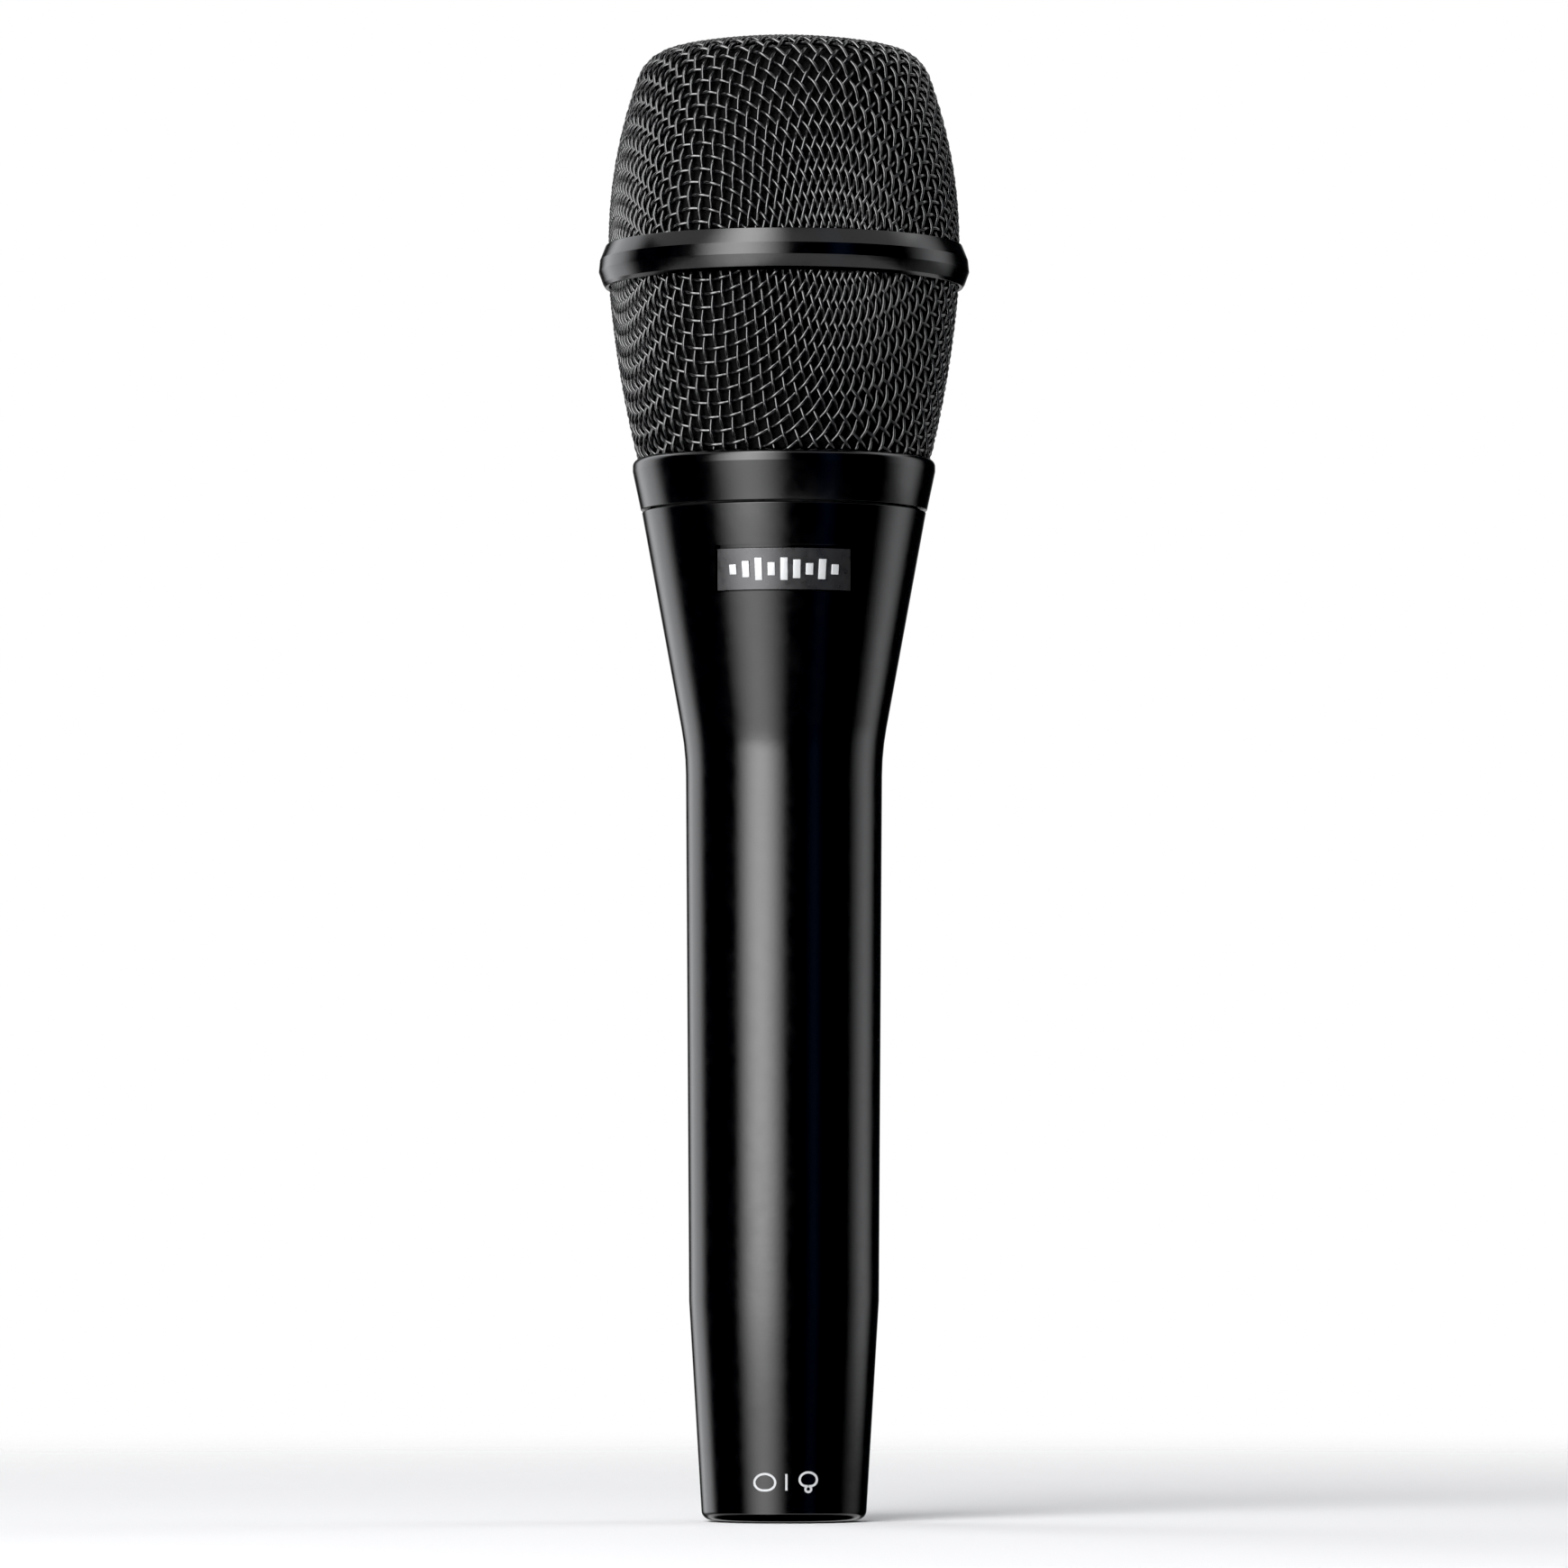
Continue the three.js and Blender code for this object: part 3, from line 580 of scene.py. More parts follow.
class MIC_OT_handle(bpy.types.Operator):
    """Turn the handle, cut its socket, name-plate pocket and screw hole, and cut the neck's thread"""

    bl_idname = "mic.handle"
    bl_label = "Handle"

    def execute(self, context):
        handle = turned("handle", handle_profile())
        combine(handle, plate_pocket())
        screw_z, hole_r, reach = middle_of("retaining_screw"), 1.45, 14
        combine(handle, rod("hole", (0, SOCKET_R - 1, screw_z), (0, reach, screw_z), hole_r))
        latch_width, latch_depth, latch_z = 4.6, 0.9, (5.8, 9.2)
        start, end = (-latch_width / 2, 2, latch_z[0]), (latch_width / 2, SOCKET_R + latch_depth, latch_z[1])
        combine(handle, slab("notch", start, end, 0.3))
        finish(smooth(handle), "handle", "lacquer", "handle_shell")
        finish(neck_thread(), "handle", "lacquer")
        return {"FINISHED"}


def handle_profile():
    """The handle's outside up to the neck, then its inside back down to the socket's mouth."""
    wall, cavity_r, socket_top = 2, 9.35, 24.5
    seat_r, throat_r, throat_z = 14.3, 13.0, (123, 129)
    corners = [
        (BASE_R, 0, 1.3),
        GRIP_LOW,
        (*GRIP_TOP, 36),
        (SHOULDER_R, HANDLE_TOP, 0.1),
        (NECK_R, HANDLE_TOP, 0.1),
        (NECK_R, NECK_TOP, 0.4),
        (seat_r, NECK_TOP, 0.15),
        (seat_r, throat_z[1]),
        (throat_r, throat_z[1]),
        (throat_r, throat_z[0]),
        (GRIP_TOP[0] - wall, GRIP_TOP[1] + wall),
        (GRIP_LOW[0] - wall, GRIP_LOW[1] + wall),
        (cavity_r, GRIP_LOW[1]),
        (cavity_r, socket_top),
        (SOCKET_R, socket_top),
        (SOCKET_R, 0, 0.35),
    ]
    return rounded(corners, step=math.radians(5))


def surface_block(depth, bottom, top, width):
    """The space in front of a cone that lies a depth under the handle's surface, as wide as is asked."""
    front, back, reach = -25, -5, 1.0
    block = slab("block", (-width / 2, front, bottom), (width / 2, back, top))
    heights = (bottom - reach, top + reach)
    radii = [cone_radius(z) - depth for z in heights]
    core = [(0, heights[0]), (radii[0], heights[0]), (radii[1], heights[1]), (0, heights[1])]
    return combine(block, turned("core", core))


def plate_pocket():
    below, above, side, depth = 0.15, 0.45, 0.3, 0.7
    return surface_block(depth, PLATE_Z[0] - below, PLATE_Z[1] + above, PLATE_WIDTH + 2 * side)


def neck_thread():
    """A shallow ridge wound up the neck, one turn to the millimetre."""
    turns, lead, foot, height, half, sunk = 4, 1.0, 130.7, 0.2, 0.35, 0.05
    deselect_all()
    bpy.ops.mesh.primitive_circle_add(vertices=3, radius=MM, fill_type="NGON")
    ridge = named("neck_thread")
    section = [(NECK_R - sunk, foot - half), (NECK_R + height, foot), (NECK_R - sunk, foot + half)]
    for vertex, (r, z) in zip(ridge.data.vertices, section):
        vertex.co = (r * MM, 0, z * MM)
    screw = {"angle": math.tau, "screw_offset": lead * MM, "iterations": turns, "axis": "Z"}
    apply(ridge, "SCREW", **screw, steps=MEDIUM, render_steps=MEDIUM, use_normal_calculate=True)
    return smooth(face_outwards(ridge), 40)


class MIC_OT_name_plate(bpy.types.Operator):
    """Make the curved name plate and its row of raised bars"""

    bl_idname = "mic.name_plate"
    bl_label = "Name plate"

    def execute(self, context):
        thickness, front, back, reach = 0.5, -25, -5, 1
        bottom, top = PLATE_Z
        inner = PLATE_SUNK + thickness
        corners = ((bottom, inner), (bottom, PLATE_SUNK), (top, PLATE_SUNK), (top, inner))
        plate = turned("name_plate_skin", [(cone_radius(z) - depth, z) for z, depth in corners], 2 * FINE)
        half = PLATE_WIDTH / 2
        combine(plate, slab("keep", (-half, front, bottom - reach), (half, back, top + reach)), "INTERSECT")
        finish(bevelled(plate, 0.07), "handle", "name_plate", "name_plate")
        finish(level_bars(), "handle", "silver")
        return {"FINISHED"}


def level_bars():
    """A plain row of upright bars of different heights, each square to the curved plate."""
    heights = (1.3, 2.1, 2.9, 1.7, 2.9, 2.4, 1.5, 2.6, 1.3)
    width, spacing, proud, sunk = 0.95, 1.62, 0.22, 0.05
    middle = sum(PLATE_Z) / 2
    plate_radius = cone_radius(middle) - PLATE_SUNK
    slope = math.atan((SHOULDER_R - GRIP_TOP[0]) / (HANDLE_TOP - GRIP_TOP[1]))
    bars = []
    for i, height in enumerate(heights):
        x = (i - (len(heights) - 1) / 2) * spacing
        bar = slab("bar", (-width / 2, -proud, -height / 2), (width / 2, sunk, height / 2), 0.06)
        angle = math.asin(x / plate_radius)
        bar.rotation_euler = (slope, 0, angle)
        bar.location = Vector((plate_radius * math.sin(angle), -plate_radius * math.cos(angle), middle)) * MM
        bars.append(settled(bar))
    return joined("level_bars", bars)


class MIC_OT_print(bpy.types.Operator):
    """Print the two pick-up patterns and the bar between them on the handle's taper"""

    bl_idname = "mic.print"
    bl_label = "Printed marks"

    def execute(self, context):
        middle = 5.1
        marks = [
            (polar_outline(0.7, 2.65, 2.1), (-2.45, middle), True),
            (polar_outline(0.27, 2.2, 2.5), (3.1, middle), True),
            ([Vector((0, -1.05)), Vector((0, 1.05))], (0.3, middle), False),
        ]
        pieces = [ribbon(*mark) for mark in marks]
        finish(joined("pattern_marks", pieces), "handle", "ink")
        return {"FINISHED"}


def polar_outline(omni, width, height):
    """The polar plot of a pattern with a given omnidirectional share, fitted to a width and height."""
    angles = [math.tau * i / MEDIUM for i in range(MEDIUM)]
    plot = [Vector((math.sin(a), math.cos(a))) * abs(omni + (1 - omni) * math.cos(a)) for a in angles]
    lows = [min(p[k] for p in plot) for k in (0, 1)]
    highs = [max(p[k] for p in plot) for k in (0, 1)]
    size = (width, height)
    return [Vector([((p[k] - lows[k]) / (highs[k] - lows[k]) - 0.5) * size[k] for k in (0, 1)]) for p in plot]


def ribbon(outline, centre, closed, width=0.28, thickness=0.015, clear=0.004):
    """A printed line of even width that lies on the handle's taper."""
    count = len(outline)
    vertices = []
    for i, point in enumerate(outline):
        before = outline[i - 1] if closed or i else point
        after = outline[(i + 1) % count] if closed or i < count - 1 else point
        along = (after - before).normalized()
        across = Vector((-along.y, along.x)) * width / 2
        for flat in (point - across, point + across):
            x, z = flat.x + centre[0], flat.y + centre[1]
            r = taper_radius(z) + clear
            vertices.append(Vector((x, -math.sqrt(r * r - x * x), z)) * MM)
    last = count if closed else count - 1
    faces = [(2 * i, 2 * i + 1, (2 * i + 3) % (2 * count), (2 * i + 2) % (2 * count)) for i in range(last)]
    piece = built("mark", vertices, faces)
    facing = sum(face.normal.y for face in piece.data.polygons)
    return apply(piece, "SOLIDIFY", thickness=thickness * MM, offset=1 if facing < 0 else -1)


class MIC_OT_socket(bpy.types.Operator):
    """Make the cable socket's insert, contact pins and retaining screw"""

    bl_idname = "mic.socket"
    bl_label = "Cable socket"

    def execute(self, context):
        bottom, top = span("connector_insert")
        r, hole_r, fillet = high("connector_insert", 0), 1.32, 0.3
        corners = [(0, bottom), (r, bottom, fillet), (r, top, fillet), (0, top)]
        insert = turned("socket_insert", rounded(corners, False))
        for number in (1, 2, 3):
            node = f"connector_pin_{number}"
            x, y = (middle_of(node, axis) for axis in (0, 1))
            combine(insert, rod("hole", (x, y, bottom - 1), (x, y, top + 1), hole_r))
            corners = [(0, 2.6), (1.2, 2.6, 0.9), (1.2, 24.8), (0.9, 25.0), (0.9, 28, 0.1), (0, 28)]
            pin = turned(f"contact_pin_{number}", rounded(corners, False), COARSE)
            pin.location = (x * MM, y * MM, 0)
            finish(settled(pin), "handle", "gold", node)
        finish(smooth(insert), "handle", "plastic", "connector_insert")
        z, screw_r, key_r, key_depth = middle_of("retaining_screw"), 1.2, 0.65, 1.4
        start, end = span("retaining_screw", 1)
        screw = bevelled(rod("socket_screw", (0, start, z), (0, end, z), screw_r), 0.12)
        combine(screw, rod("key", (0, end - key_depth, z), (0, end + 1, z), key_r, 6))
        finish(smooth(screw), "handle", "steel", "retaining_screw")
        return {"FINISHED"}


class MIC_OT_rings(bpy.types.Operator):
    """Turn the grille's collar, its three-faceted band and the gasket"""

    bl_idname = "mic.rings"
    bl_label = "Collar and band"

    def execute(self, context):
        finish(turned("collar", collar_profile()), "grille", "lacquer", "grille_collar")
        finish(turned("band", band_profile()), "grille", "lacquer", "grille_band")
        gasket = washer("gasket", 16.6, 17.4, *span("collar_gasket"), 0.25)
        finish(gasket, "gasket", "rubber", "collar_gasket")
        return {"FINISHED"}


def collar_profile():
    """A cone with an upright band round its top, hollow above for the mesh and below for the thread."""
    foot, top = COLLAR_Z
    pocket_r, pocket_z = 18.9, 135.2
    lip_r, thread_r, ledge_z = 17.7, 16.5, (131.5, 133.7)
    corners = [
        (lip_r, foot),
        (18.52, foot, 0.08),
        (COLLAR_R, 135.3, 0.5),
        (COLLAR_R, top, 0.9),
        (pocket_r, top, 0.06),
        (pocket_r, pocket_z),
        (17.1, pocket_z),
        (17.1, ledge_z[1], 0.1),
        (thread_r, ledge_z[1], 0.1),
        (thread_r, ledge_z[0]),
        (lip_r, ledge_z[0]),
    ]
    return rounded(corners)


def band_profile():
    bottom, top = BAND_Z
    corners = [
        (22.7, bottom, 0.08),
        (BAND_R - 0.85, bottom, 0.12),
        (BAND_R - 0.56, bottom + 0.45, 0.12),
        (BAND_R, bottom + 2.0, 0.1),
        (BAND_R - 0.14, bottom + 3.5, 0.1),
        (23.1, top, 0.08),
        (22.75, top, 0.05),
    ]
    return rounded(corners)


class MIC_OT_grille(bpy.types.Operator):
    """Weave the grille's wires: a flat plain weave laid over the forms of the upper and lower meshes"""

    bl_idname = "mic.grille"
    bl_label = "Woven grille"

    def execute(self, context):
        weave = context.scene.mic_weave
        depth = 2 * weave.wire_radius / MM
        upper = Form(beside(upper_line(), -depth), **CLOTH["upper"])
        lower = Form(beside(lower_line(), depth), **CLOTH["lower"])
        for name, form, node in (("upper", upper, "upper_mesh"), ("lower", lower, "lower_mesh")):
            for run, across in (("warp", False), ("weft", True)):
                wires = woven(f"{name}_{run}", form, weave, across)
                finish(wires, "grille", "mesh_wire", node)
        return {"FINISHED"}


class Form:
    """An outline that flat cloth is drawn over."""

    def __init__(self, line, turn, start, rim, stretch, shear, crowd):
        self.line = line
        self.distances = [start]
        for a, b in zip(line, line[1:]):
            self.distances.append(self.distances[-1] + (b - a).length)
        self.start, self.end = start, self.distances[-1]
        self.turn, self.rim = math.radians(turn), rim
        self.stretch, self.shear, self.crowd = stretch, shear, crowd

    def drawn(self, u, v):
        """Where a place on the flat cloth lands: its distance along the outline, and its azimuth."""
        flat, bearing = math.hypot(u, v), math.atan2(v, u)
        distance, azimuth = flat, bearing
        for _ in range(10):
            past = max(0.0, distance - self.rim)
            share = min(1.0, past / FULL_DRAW)
            diagonal = (1 - math.cos(4 * azimuth)) / 2
            distance = flat + past * (self.stretch + self.shear * diagonal)
            azimuth = bearing + share**2 * (3 - 2 * share) * self.crowd * math.sin(4 * azimuth) / 4
        return distance, azimuth + self.turn

    def at(self, distance):
        """The radius and height at a distance along the outline, then the outward normal's two parts."""
        after = bisect_right(self.distances, distance, 1, len(self.distances) - 1)
        (a, b), (start, end) = self.line[after - 1 : after + 1], self.distances[after - 1 : after + 1]
        share = (distance - start) / (end - start)
        point = a.lerp(b, share)
        along = (b - a).normalized()
        normal = Vector((along.y, -along.x))
        if normal.dot(point - INSIDE) < 0:
            normal.negate()
        return point.x, point.y, normal.x, normal.y


def woven(name, form, weave, across):
    """All the wires of one direction, as closed tubes that pass over and under the other direction's."""
    pitch, radius = weave.pitch / MM, weave.wire_radius / MM
    reach = math.ceil(form.end / pitch)
    step = pitch / weave.steps
    vertices, faces = [], []

    def place(along, distance, turn, sign):
        """The wire's centre and the surface's normal where the cloth has landed."""
        r, z, out, up = form.at(distance)
        lift = radius * sign * math.cos(math.pi * (along / pitch - 0.5))
        normal = Vector((out * math.cos(turn), out * math.sin(turn), up))
        return Vector((r * math.cos(turn), r * math.sin(turn), z)) + normal * lift, normal

    def add_tube(stations):
        """A closed tube through the wire's centres."""
        base = len(vertices)
        count = len(stations)
        for i, (centre, normal) in enumerate(stations):
            along = (stations[min(i + 1, count - 1)][0] - stations[max(i - 1, 0)][0]).normalized()
            side = along.cross(normal).normalized()
            rise = side.cross(along)
            for k in range(weave.sides):
                angle = math.tau * k / weave.sides
                vertices.append((centre + (side * math.cos(angle) + rise * math.sin(angle)) * radius) * MM)
        for i in range(count - 1):
            for k in range(weave.sides):
                after = (k + 1) % weave.sides
                here, there = base + i * weave.sides, base + (i + 1) * weave.sides
                faces.append((here + k, here + after, there + after, there + k))
        faces.append(tuple(range(base + weave.sides - 1, base - 1, -1)))
        faces.append(tuple(base + (count - 1) * weave.sides + k for k in range(weave.sides)))

    for row in range(-reach, reach):
        side = (row + 0.5) * pitch
        sign = (-1) ** row * (-1 if across else 1)
        spots = []
        for i in range(-reach * weave.steps, reach * weave.steps + 1):
            along = i * step
            spots.append((along, *(form.drawn(side, along) if across else form.drawn(along, side))))
        for on_form, run in groupby(spots, lambda spot: form.start <= spot[1] <= form.end):
            stations = [place(*spot, sign) for spot in run] if on_form else []
            if len(stations) > 2:
                add_tube(stations)
    return smooth(built(name, vertices, faces), 75)


class MIC_OT_foam(bpy.types.Operator):
    """Line the grille with foam"""

    bl_idname = "mic.foam"
    bl_label = "Foam liner"

    def execute(self, context):
        gap, thickness, foot = 1.35, 2.2, lower_line()[0].y + 0.3
        line = upper_line() + [p for p in reversed(lower_line()) if p.y > foot]
        outside = beside(line, -gap)
        inside = beside(line, -gap - thickness)
        foam = turned("foam", outside + inside[::-1])
        finish(foam, "liner", "foam", "foam_liner")
        return {"FINISHED"}


class MIC_OT_suspension(bpy.types.Operator):
    """Make the neck plate, the mount cup and its cap, and the two rubber isolators"""

    bl_idname = "mic.suspension"
    bl_label = "Suspension"

    def execute(self, context):
        plate = washer("neck_disc", 3.4, 14.0, *span("neck_plate"), 0.35)
        finish(plate, "handle", "plastic", "neck_plate")
        cup_r, play = 12.6, 0.4
        cup = washer("cup", 11.2, cup_r, *span("mount_cup"), 0.15)
        (x0, x1), (z0, z1) = (span("switch_body", axis) for axis in (0, 2))
        combine(cup, slab("window", (x0 - play, -14, z0 - play), (x1 + play, -9, z1 + play), 0.5))
        for quarter in (0, 1, 2):
            vent = slab("vent", (10, -3.2, 136.5), (14, 3.2, 143.8), 1.2)
            combine(cup, turn_about_axis(vent, quarter * math.pi / 2))
        finish(smooth(cup), "handle", "plastic", "mount_cup")
        cap = washer("cup_cap", 8.7, cup_r, *span("mount_cap"), 0.3)
        finish(cap, "handle", "plastic", "mount_cap")
        for name, inner_r, outer_r, held, free in (
            ("lower_isolator", 4.2, 7.2, low("lower_isolator"), high("lower_isolator")),
            ("upper_isolator", 8.6, 10.6, high("upper_isolator"), low("upper_isolator")),
        ):
            isolator = bulged_ring(f"{name}_ring", inner_r, outer_r, min(held, free), max(held, free))
            isolator.data.materials.append(surface("rubber"))
            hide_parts(name)
            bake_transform(isolator)
        return {"FINISHED"}


def bulged_ring(name, inner_r, outer_r, bottom, top):
    """A soft ring with a groove round its waist, so that it can squash."""
    middle, waist = (bottom + top) / 2, 0.35
    corners = [
        (inner_r, bottom, 0.2),
        (outer_r, bottom, 0.3),
        (outer_r - waist, middle, 0.4),
        (outer_r, top, 0.3),
        (inner_r, top, 0.2),
    ]
    return turned(name, rounded(corners))


class MIC_OT_switch(bpy.types.Operator):
    """Make the pattern switch and its slider"""

    bl_idname = "mic.switch"
    bl_label = "Pattern switch"

    def execute(self, context):
        housing = [corner / MM for corner in map(Vector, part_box("switch_body"))]
        body = slab("switch_housing", *housing, 0.25)
        start, end = (corner / MM for corner in map(Vector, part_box("switch_slider")))
        travel, play = 2.1, 0.25
        slot_end = (end.x + travel + play, end.y + play, end.z + play)
        combine(body, slab("slot", (start.x - play, start.y, start.z - play), slot_end))
        finish(smooth(body), "handle", "plastic", "switch_body")
        slider = slab("switch_thumb", start, end, 0.14)
        middle, half, depth = (start.x + end.x) / 2, 0.2, 0.3
        groove_end = (middle + half, start.y + depth, end.z + 1)
        combine(slider, slab("groove", (middle - half, start.y - 1, start.z - 1), groove_end))
        finish(smooth(slider), "slider", "white_plastic", "switch_slider")
        return {"FINISHED"}


class MIC_OT_capsule(bpy.types.Operator):
    """Make the capsule: stem, cradle, clamp rings, diaphragms, insulator, screws and guard"""

    bl_idname = "mic.capsule"
    bl_label = "Capsule"

    def execute(self, context):
        finish(capsule_stem(), "capsule", "plastic", "capsule_stem")
        finish(capsule_cradle(), "capsule", "plastic", "capsule_cradle")
        for side in ("rear", "front"):
            node = f"{side}_clamp_ring"
            ring = washer(f"{side}_ring", 10.2, CAPSULE_R, *span(node), 0.22)
            finish(ring, "capsule", "brass", node)
            node = f"{side}_diaphragm"
            finish(film(f"{side}_film", *span(node)), "capsule", "gold", node)
        node = "capsule_insulator"
        sleeve = washer("insulator_sleeve", 12.6, CAPSULE_R, *span(node), 0.15)
        finish(sleeve, "capsule", "plastic", node)
        for number in range(1, 7):
            node = f"clamp_screw_{number}"
            x, y = (middle_of(node, axis) for axis in (0, 1))
            screw = clamp_screw(f"ring_screw_{number}", x, y, *span(node))
            finish(screw, "capsule", "steel", node)
        finish(guard(), "capsule", "guard_steel", "capsule_guard")
        return {"FINISHED"}


def capsule_stem():
    (foot, top), bore, foot_r, neck_r, flange_r, flange = span("capsule_stem"), 2.6, 7.4, 8.0, 10.4, 144.0
    corners = [
        (bore, foot, 0.2),
        (foot_r, foot, 0.3),
        (foot_r, flange - 0.8, 0.2),
        (flange_r, flange, 0.2),
        (flange_r, flange + 1, 0.2),
        (neck_r, flange + 1, 0.1),
        (neck_r, top, 0.25),
        (bore, top, 0.2),
    ]
    return turned("stem", rounded(corners))


def capsule_cradle():
    (foot, top), outer, inner, bore, sole = span("capsule_cradle"), 14.5, 13.7, 3.1, 1.5
    corners = [
        (bore, foot, 0.2),
        (9, foot, 0.8),
        (outer, foot + 3.4, 1.2),
        (outer, top, 0.2),
        (inner, top, 0.2),
        (inner, foot + 4.6, 0.8),
        (8.6, foot + sole, 0.5),
        (bore, foot + sole, 0.2),
    ]
    cradle = turned("cradle", rounded(corners))
    for quarter in range(4):
        window = slab("window", (6.5, -6.6, foot + 1.9), (16, 6.6, top - 4.2), 0.9)
        combine(cradle, turn_about_axis(window, (quarter + 0.5) * math.pi / 2))
    return smooth(cradle)


def film(name, bottom, top):
    """A taut film with shallow rings formed in it near its rim."""
    edge, steps, ripple, ripples_from, ripples_to = 13.1, 48, 0.03, 8.5, 10.0
    radii = [edge * (1 - i / steps) for i in range(steps + 1)]
    lifts = [ripple * math.sin(r * 4) if ripples_from < r < ripples_to else 0 for r in radii]
    over = [(r, top + lift) for r, lift in zip(radii, lifts)]
    under = [(r, bottom + lift) for r, lift in zip(radii, lifts)]
    return turned(name, over[::-1] + under)


def clamp_screw(name, x, y, bottom, top):
    radius, slot_half, slot_depth = 0.8, 0.12, 0.3
    screw = bevelled(rod(name, (x, y, bottom), (x, y, top), radius), 0.12)
    slot = slab("slot", (-1.2, -slot_half, top - slot_depth), (1.2, slot_half, top + 1))
    slot.rotation_euler.z = math.atan2(y, x)
    slot.location = (x * MM, y * MM, 0)
    return smooth(combine(screw, settled(slot)))


def guard():
    """An open dome of wire: a rim, a hoop, a hub and four bent spokes."""
    base, wire, hub_r, hub_z = low("capsule_guard"), 0.4, 1.6, (3.15, 3.95)
    hub_low, hub_high = (base + z for z in hub_z)
    hub = [(0, hub_low), (hub_r, hub_low, 0.3), (hub_r, hub_high, 0.3), (0, hub_high)]
    pieces = [
        washer("rim", 12.75, CAPSULE_R, base, base + 0.9, 0.15),
        washer("hoop", 7.0, 7.8, base + 2.55, base + 3.35, 0.38, MEDIUM),
        turned("hub", rounded(hub, False), MEDIUM),
    ]
    arc = bezier((13.07, base + 0.45), (9.5, base + 3.1), (0.8, base + 3.55), 14)
    for quarter in range(4):
        angle = (quarter + 0.5) * math.pi / 2
        points = [(p.x * math.cos(angle), p.x * math.sin(angle), p.y) for p in arc]
        pieces.append(tube("spoke", points, wire))
    return joined("guard", pieces)


class MIC_OT_inside(bpy.types.Operator):
    """Give the pieces that are carried over from the frame their finishes"""

    bl_idname = "mic.inside"
    bl_label = "Inner pieces"

    def execute(self, context):
        for entry in frame["record"]["subparts"]:
            node = frame["nodes"][entry["node"]]
            node.data.materials.clear()
            node.data.materials.append(surface(entry["material_slot"]))
        return {"FINISHED"}


class MIC_OT_stage(bpy.types.Operator):
    """Set the camera, the pale floor and the softboxes"""

    bl_idname = "mic.stage"
    bl_label = "Stage"

    def execute(self, context):
        stage = context.scene.mic_stage
        deselect_all()
        bpy.ops.object.camera_add(
            location=(0, -stage.distance, stage.height), rotation=(math.pi / 2 + stage.pitch, 0, 0)
        )
        camera = bpy.context.object
        camera.data.lens = stage.lens
        camera.data.sensor_width = 36
        camera.data.clip_start = 0.01
        context.scene.camera = camera
        view = context.scene.view_settings
        view.view_transform = "Standard"
        view.use_curve_mapping = True
        view.curve_mapping.black_level = (0.003,) * 3
        make_world()
        make_floor()
        make_softboxes(stage.brightness)
        return {"FINISHED"}


def make_world():
    """White to the camera and nearly dark to everything else, so that reflections show the softboxes only."""
    world = bpy.data.worlds.new("studio")
    bpy.context.scene.world = world
    world.use_nodes = True
    tree = world.node_tree
    seen = preset(tree.nodes["Background"], Color=(1, 1, 1, 1))
    unseen = add_node(tree, "Background", Color=(0.5, 0.52, 0.56, 1), Strength=0.02)
    path, mix = add_node(tree, "LightPath"), add_node(tree, "MixShader")
    tree.links.new(path.outputs["Is Camera Ray"], mix.inputs["Fac"])
    tree.links.new(unseen.outputs["Background"], mix.inputs[1])
    tree.links.new(seen.outputs["Background"], mix.inputs[2])
    tree.links.new(mix.outputs["Shader"], tree.nodes["World Output"].inputs["Surface"])


def make_floor():
    """A pale floor that fades into the backdrop, is clear from below and isn't mirrored by the lacquer."""
    radius, gap, faded_by = 0.6, 0.0002, 0.8
    deselect_all()
    place = (0, 0, -gap)
    bpy.ops.mesh.primitive_circle_add(vertices=MEDIUM, radius=radius, fill_type="NGON", location=place)
    floor = named("floor")
    paper = Shader("floor_paper", (0.82, 0.82, 0.83), 0.9)
    paper.vary_roughness(paper.noise(40), 0.85, 0.95)
    tree = paper.tree
    fade, reach = add_node(tree, "TexGradient"), add_node(tree, "Mapping", Scale=(1 / radius,) * 3)
    fade.gradient_type = "SPHERICAL"
    paper.link(paper.coordinates.outputs["Object"], reach.inputs["Vector"])
    paper.link(reach.outputs["Vector"], fade.inputs["Vector"])
    side = add_node(tree, "NewGeometry")
    near = ramp(tree, fade.outputs["Fac"], 0.0, faded_by)
    from_above = calculate(tree, "SUBTRACT", near, side.outputs["Backfacing"])
    from_above.node.use_clamp = True
    clear, mix = add_node(tree, "BsdfTransparent"), add_node(tree, "MixShader")
    paper.link(from_above, mix.inputs["Fac"])
    paper.link(clear.outputs["BSDF"], mix.inputs[1])
    paper.link(paper.shader.outputs["BSDF"], mix.inputs[2])
    paper.link(mix.outputs["Shader"], tree.nodes["Material Output"].inputs["Surface"])
    floor.data.materials.append(paper.material)
    floor.visible_glossy = False
    floor.visible_shadow = False


def add_panel(name, place, rotation, width, height, radiance):
    """A rectangular light that the camera doesn't see."""
    deselect_all()
    bpy.ops.object.light_add(type="AREA", location=place, rotation=rotation)
    panel = named(name)
    panel.data.shape = "RECTANGLE"
    panel.data.size, panel.data.size_y = width, height
    panel.data.energy = radiance * 4 * width * height
    panel.data.use_nodes = True
    return panel


def ramp(tree, source, start, end, lowest=0.0):
    """A smooth rise from the lowest value to 1."""
    node = add_node(tree, "MapRange", From_Min=start, From_Max=end, To_Min=lowest)
    node.interpolation_type = "SMOOTHSTEP"
    tree.links.new(source, node.inputs["Value"])
    return node.outputs["Result"]


def calculate(tree, operation, *values):
    node = add_node(tree, "Math")
    node.operation = operation
    for socket, value in zip(node.inputs, values):
        if isinstance(value, float):
            socket.default_value = value
        else:
            tree.links.new(value, socket)
    return node.outputs["Value"]


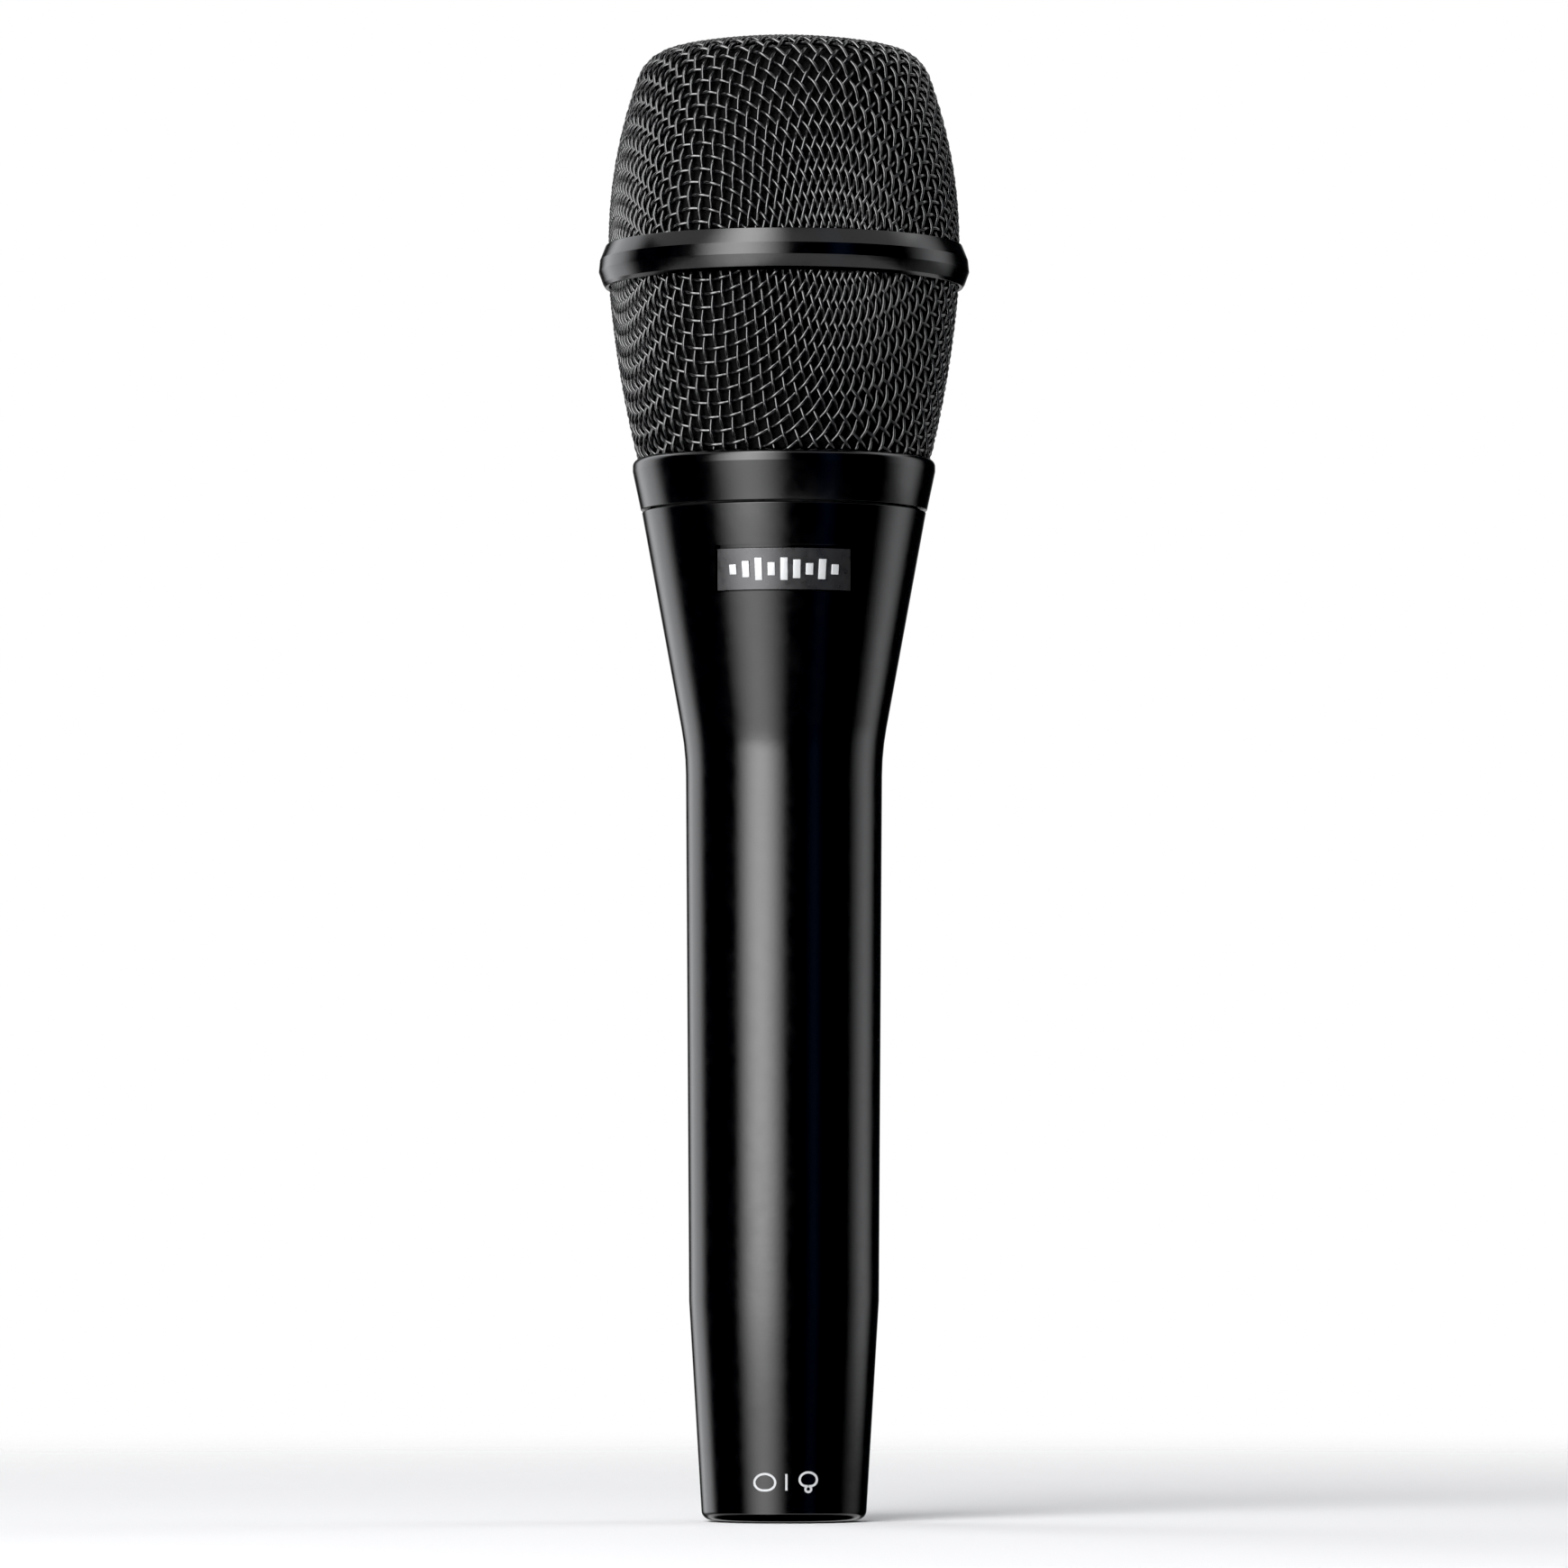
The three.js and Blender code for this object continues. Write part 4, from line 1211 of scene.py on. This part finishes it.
def softbox(name, azimuth, spread, radiance, below, soft, horizon):
    """An upright panel at an azimuth from the front, as wide as the angle it fills.

    It fades over a share of each half, and below the horizon it dims to a share of its radiance.
    """
    distance, bottom, top, blend = 0.9, -0.46, 1.7, 0.05
    turn = math.radians(azimuth)
    place = (math.sin(turn) * distance, -math.cos(turn) * distance, (bottom + top) / 2)
    width = 2 * distance * math.tan(math.radians(spread / 2))
    panel = add_panel(name, place, (math.pi / 2, 0, turn), width, top - bottom, radiance)
    tree = panel.data.node_tree
    split = add_node(tree, "SeparateXYZ")
    tree.links.new(add_node(tree, "TexCoord").outputs["UV"], split.inputs["Vector"])
    from_middle = calculate(tree, "ABSOLUTE", calculate(tree, "MULTIPLY_ADD", split.outputs["X"], 2.0, -1.0))
    sideways = ramp(tree, from_middle, 1.0, 1.0 - soft)
    heights = [(z - bottom) / (top - bottom) for z in (horizon - blend, horizon + blend)]
    shine_by(tree, sideways, ramp(tree, split.outputs["Y"], *heights, below))
    return panel


def shine_by(tree, first, second):
    """Scales a panel's light by two factors."""
    tree.links.new(calculate(tree, "MULTIPLY", first, second), tree.nodes["Emission"].inputs["Strength"])


def ring_light(name, height, inner, outer, radiance):
    """A level ring about the axis that faces the microphone from above or below."""
    inner_blend, outer_blend = 0.05, 0.1
    turn = 0 if height > 0 else math.pi
    panel = add_panel(name, (0, 0, height), (turn, 0, 0), 2 * outer, 2 * outer, radiance)
    tree = panel.data.node_tree
    reach = add_node(tree, "VectorMath")
    reach.operation = "LENGTH"
    tree.links.new(add_node(tree, "TexCoord").outputs["Object"], reach.inputs[0])
    inside = ramp(tree, reach.outputs["Value"], inner - inner_blend, inner + inner_blend)
    shine_by(tree, inside, ramp(tree, reach.outputs["Value"], outer, outer - outer_blend))


def make_softboxes(brightness):
    """Tall panels all round, and a level ring above and below."""
    panels = [
        ("main", -28, 68, 6.3, 0.42, 1.0, -0.045, (1, 1, 1)),
        ("left_rear", -132, 54, 1.4, 0.2, 0.7, -0.16, (0.97, 0.98, 1)),
        ("right_rear", 108, 54, 1.1, 0.22, 1.0, -0.045, (0.97, 0.98, 1)),
        ("fill", 36, 26, 0.12, 0.6, 1.0, -0.045, (0.35, 0.5, 1)),
        ("back", 180, 34, 0.35, 0.6, 1.0, -0.045, (1, 1, 1)),
    ]
    for name, azimuth, spread, radiance, *fade, tint in panels:
        softbox(name, azimuth, spread, radiance * brightness, *fade).data.color = tint
    ring_light("overhead", 1.2, 0.75, 1.6, 0.6 * brightness)
    ring_light("underneath", -0.47, 0.85, 1.4, 0.75 * brightness)


class MIC_PT_panel(bpy.types.Panel):
    """The microphone's pieces and settings"""

    bl_idname = "MIC_PT_panel"
    bl_label = "Microphone"
    bl_space_type = "VIEW_3D"
    bl_region_type = "UI"
    bl_category = "Microphone"

    def draw(self, context):
        for group in (context.scene.mic_weave, context.scene.mic_colours, context.scene.mic_stage):
            box = self.layout.box()
            for key in group.__annotations__:
                box.prop(group, key)
        for operator in OPERATORS:
            self.layout.operator(operator.bl_idname)


OPERATORS = (
    MIC_OT_finishes,
    MIC_OT_inside,
    MIC_OT_handle,
    MIC_OT_name_plate,
    MIC_OT_print,
    MIC_OT_socket,
    MIC_OT_rings,
    MIC_OT_grille,
    MIC_OT_foam,
    MIC_OT_suspension,
    MIC_OT_switch,
    MIC_OT_capsule,
    MIC_OT_stage,
)
GROUPS = {"mic_weave": MicWeave, "mic_colours": MicColours, "mic_stage": MicStage}


def register():
    for cls in (*GROUPS.values(), *OPERATORS, MIC_PT_panel):
        bpy.utils.register_class(cls)
    for name, group in GROUPS.items():
        setattr(bpy.types.Scene, name, bpy.props.PointerProperty(type=group))


def unregister():
    for name in GROUPS:
        delattr(bpy.types.Scene, name)
    for cls in (MIC_PT_panel, *reversed(OPERATORS), *GROUPS.values()):
        bpy.utils.unregister_class(cls)


def main():
    register()
    for operator in OPERATORS:
        area, name = operator.bl_idname.split(".")
        getattr(getattr(bpy.ops, area), name)()


if __name__ == "__main__":
    main()
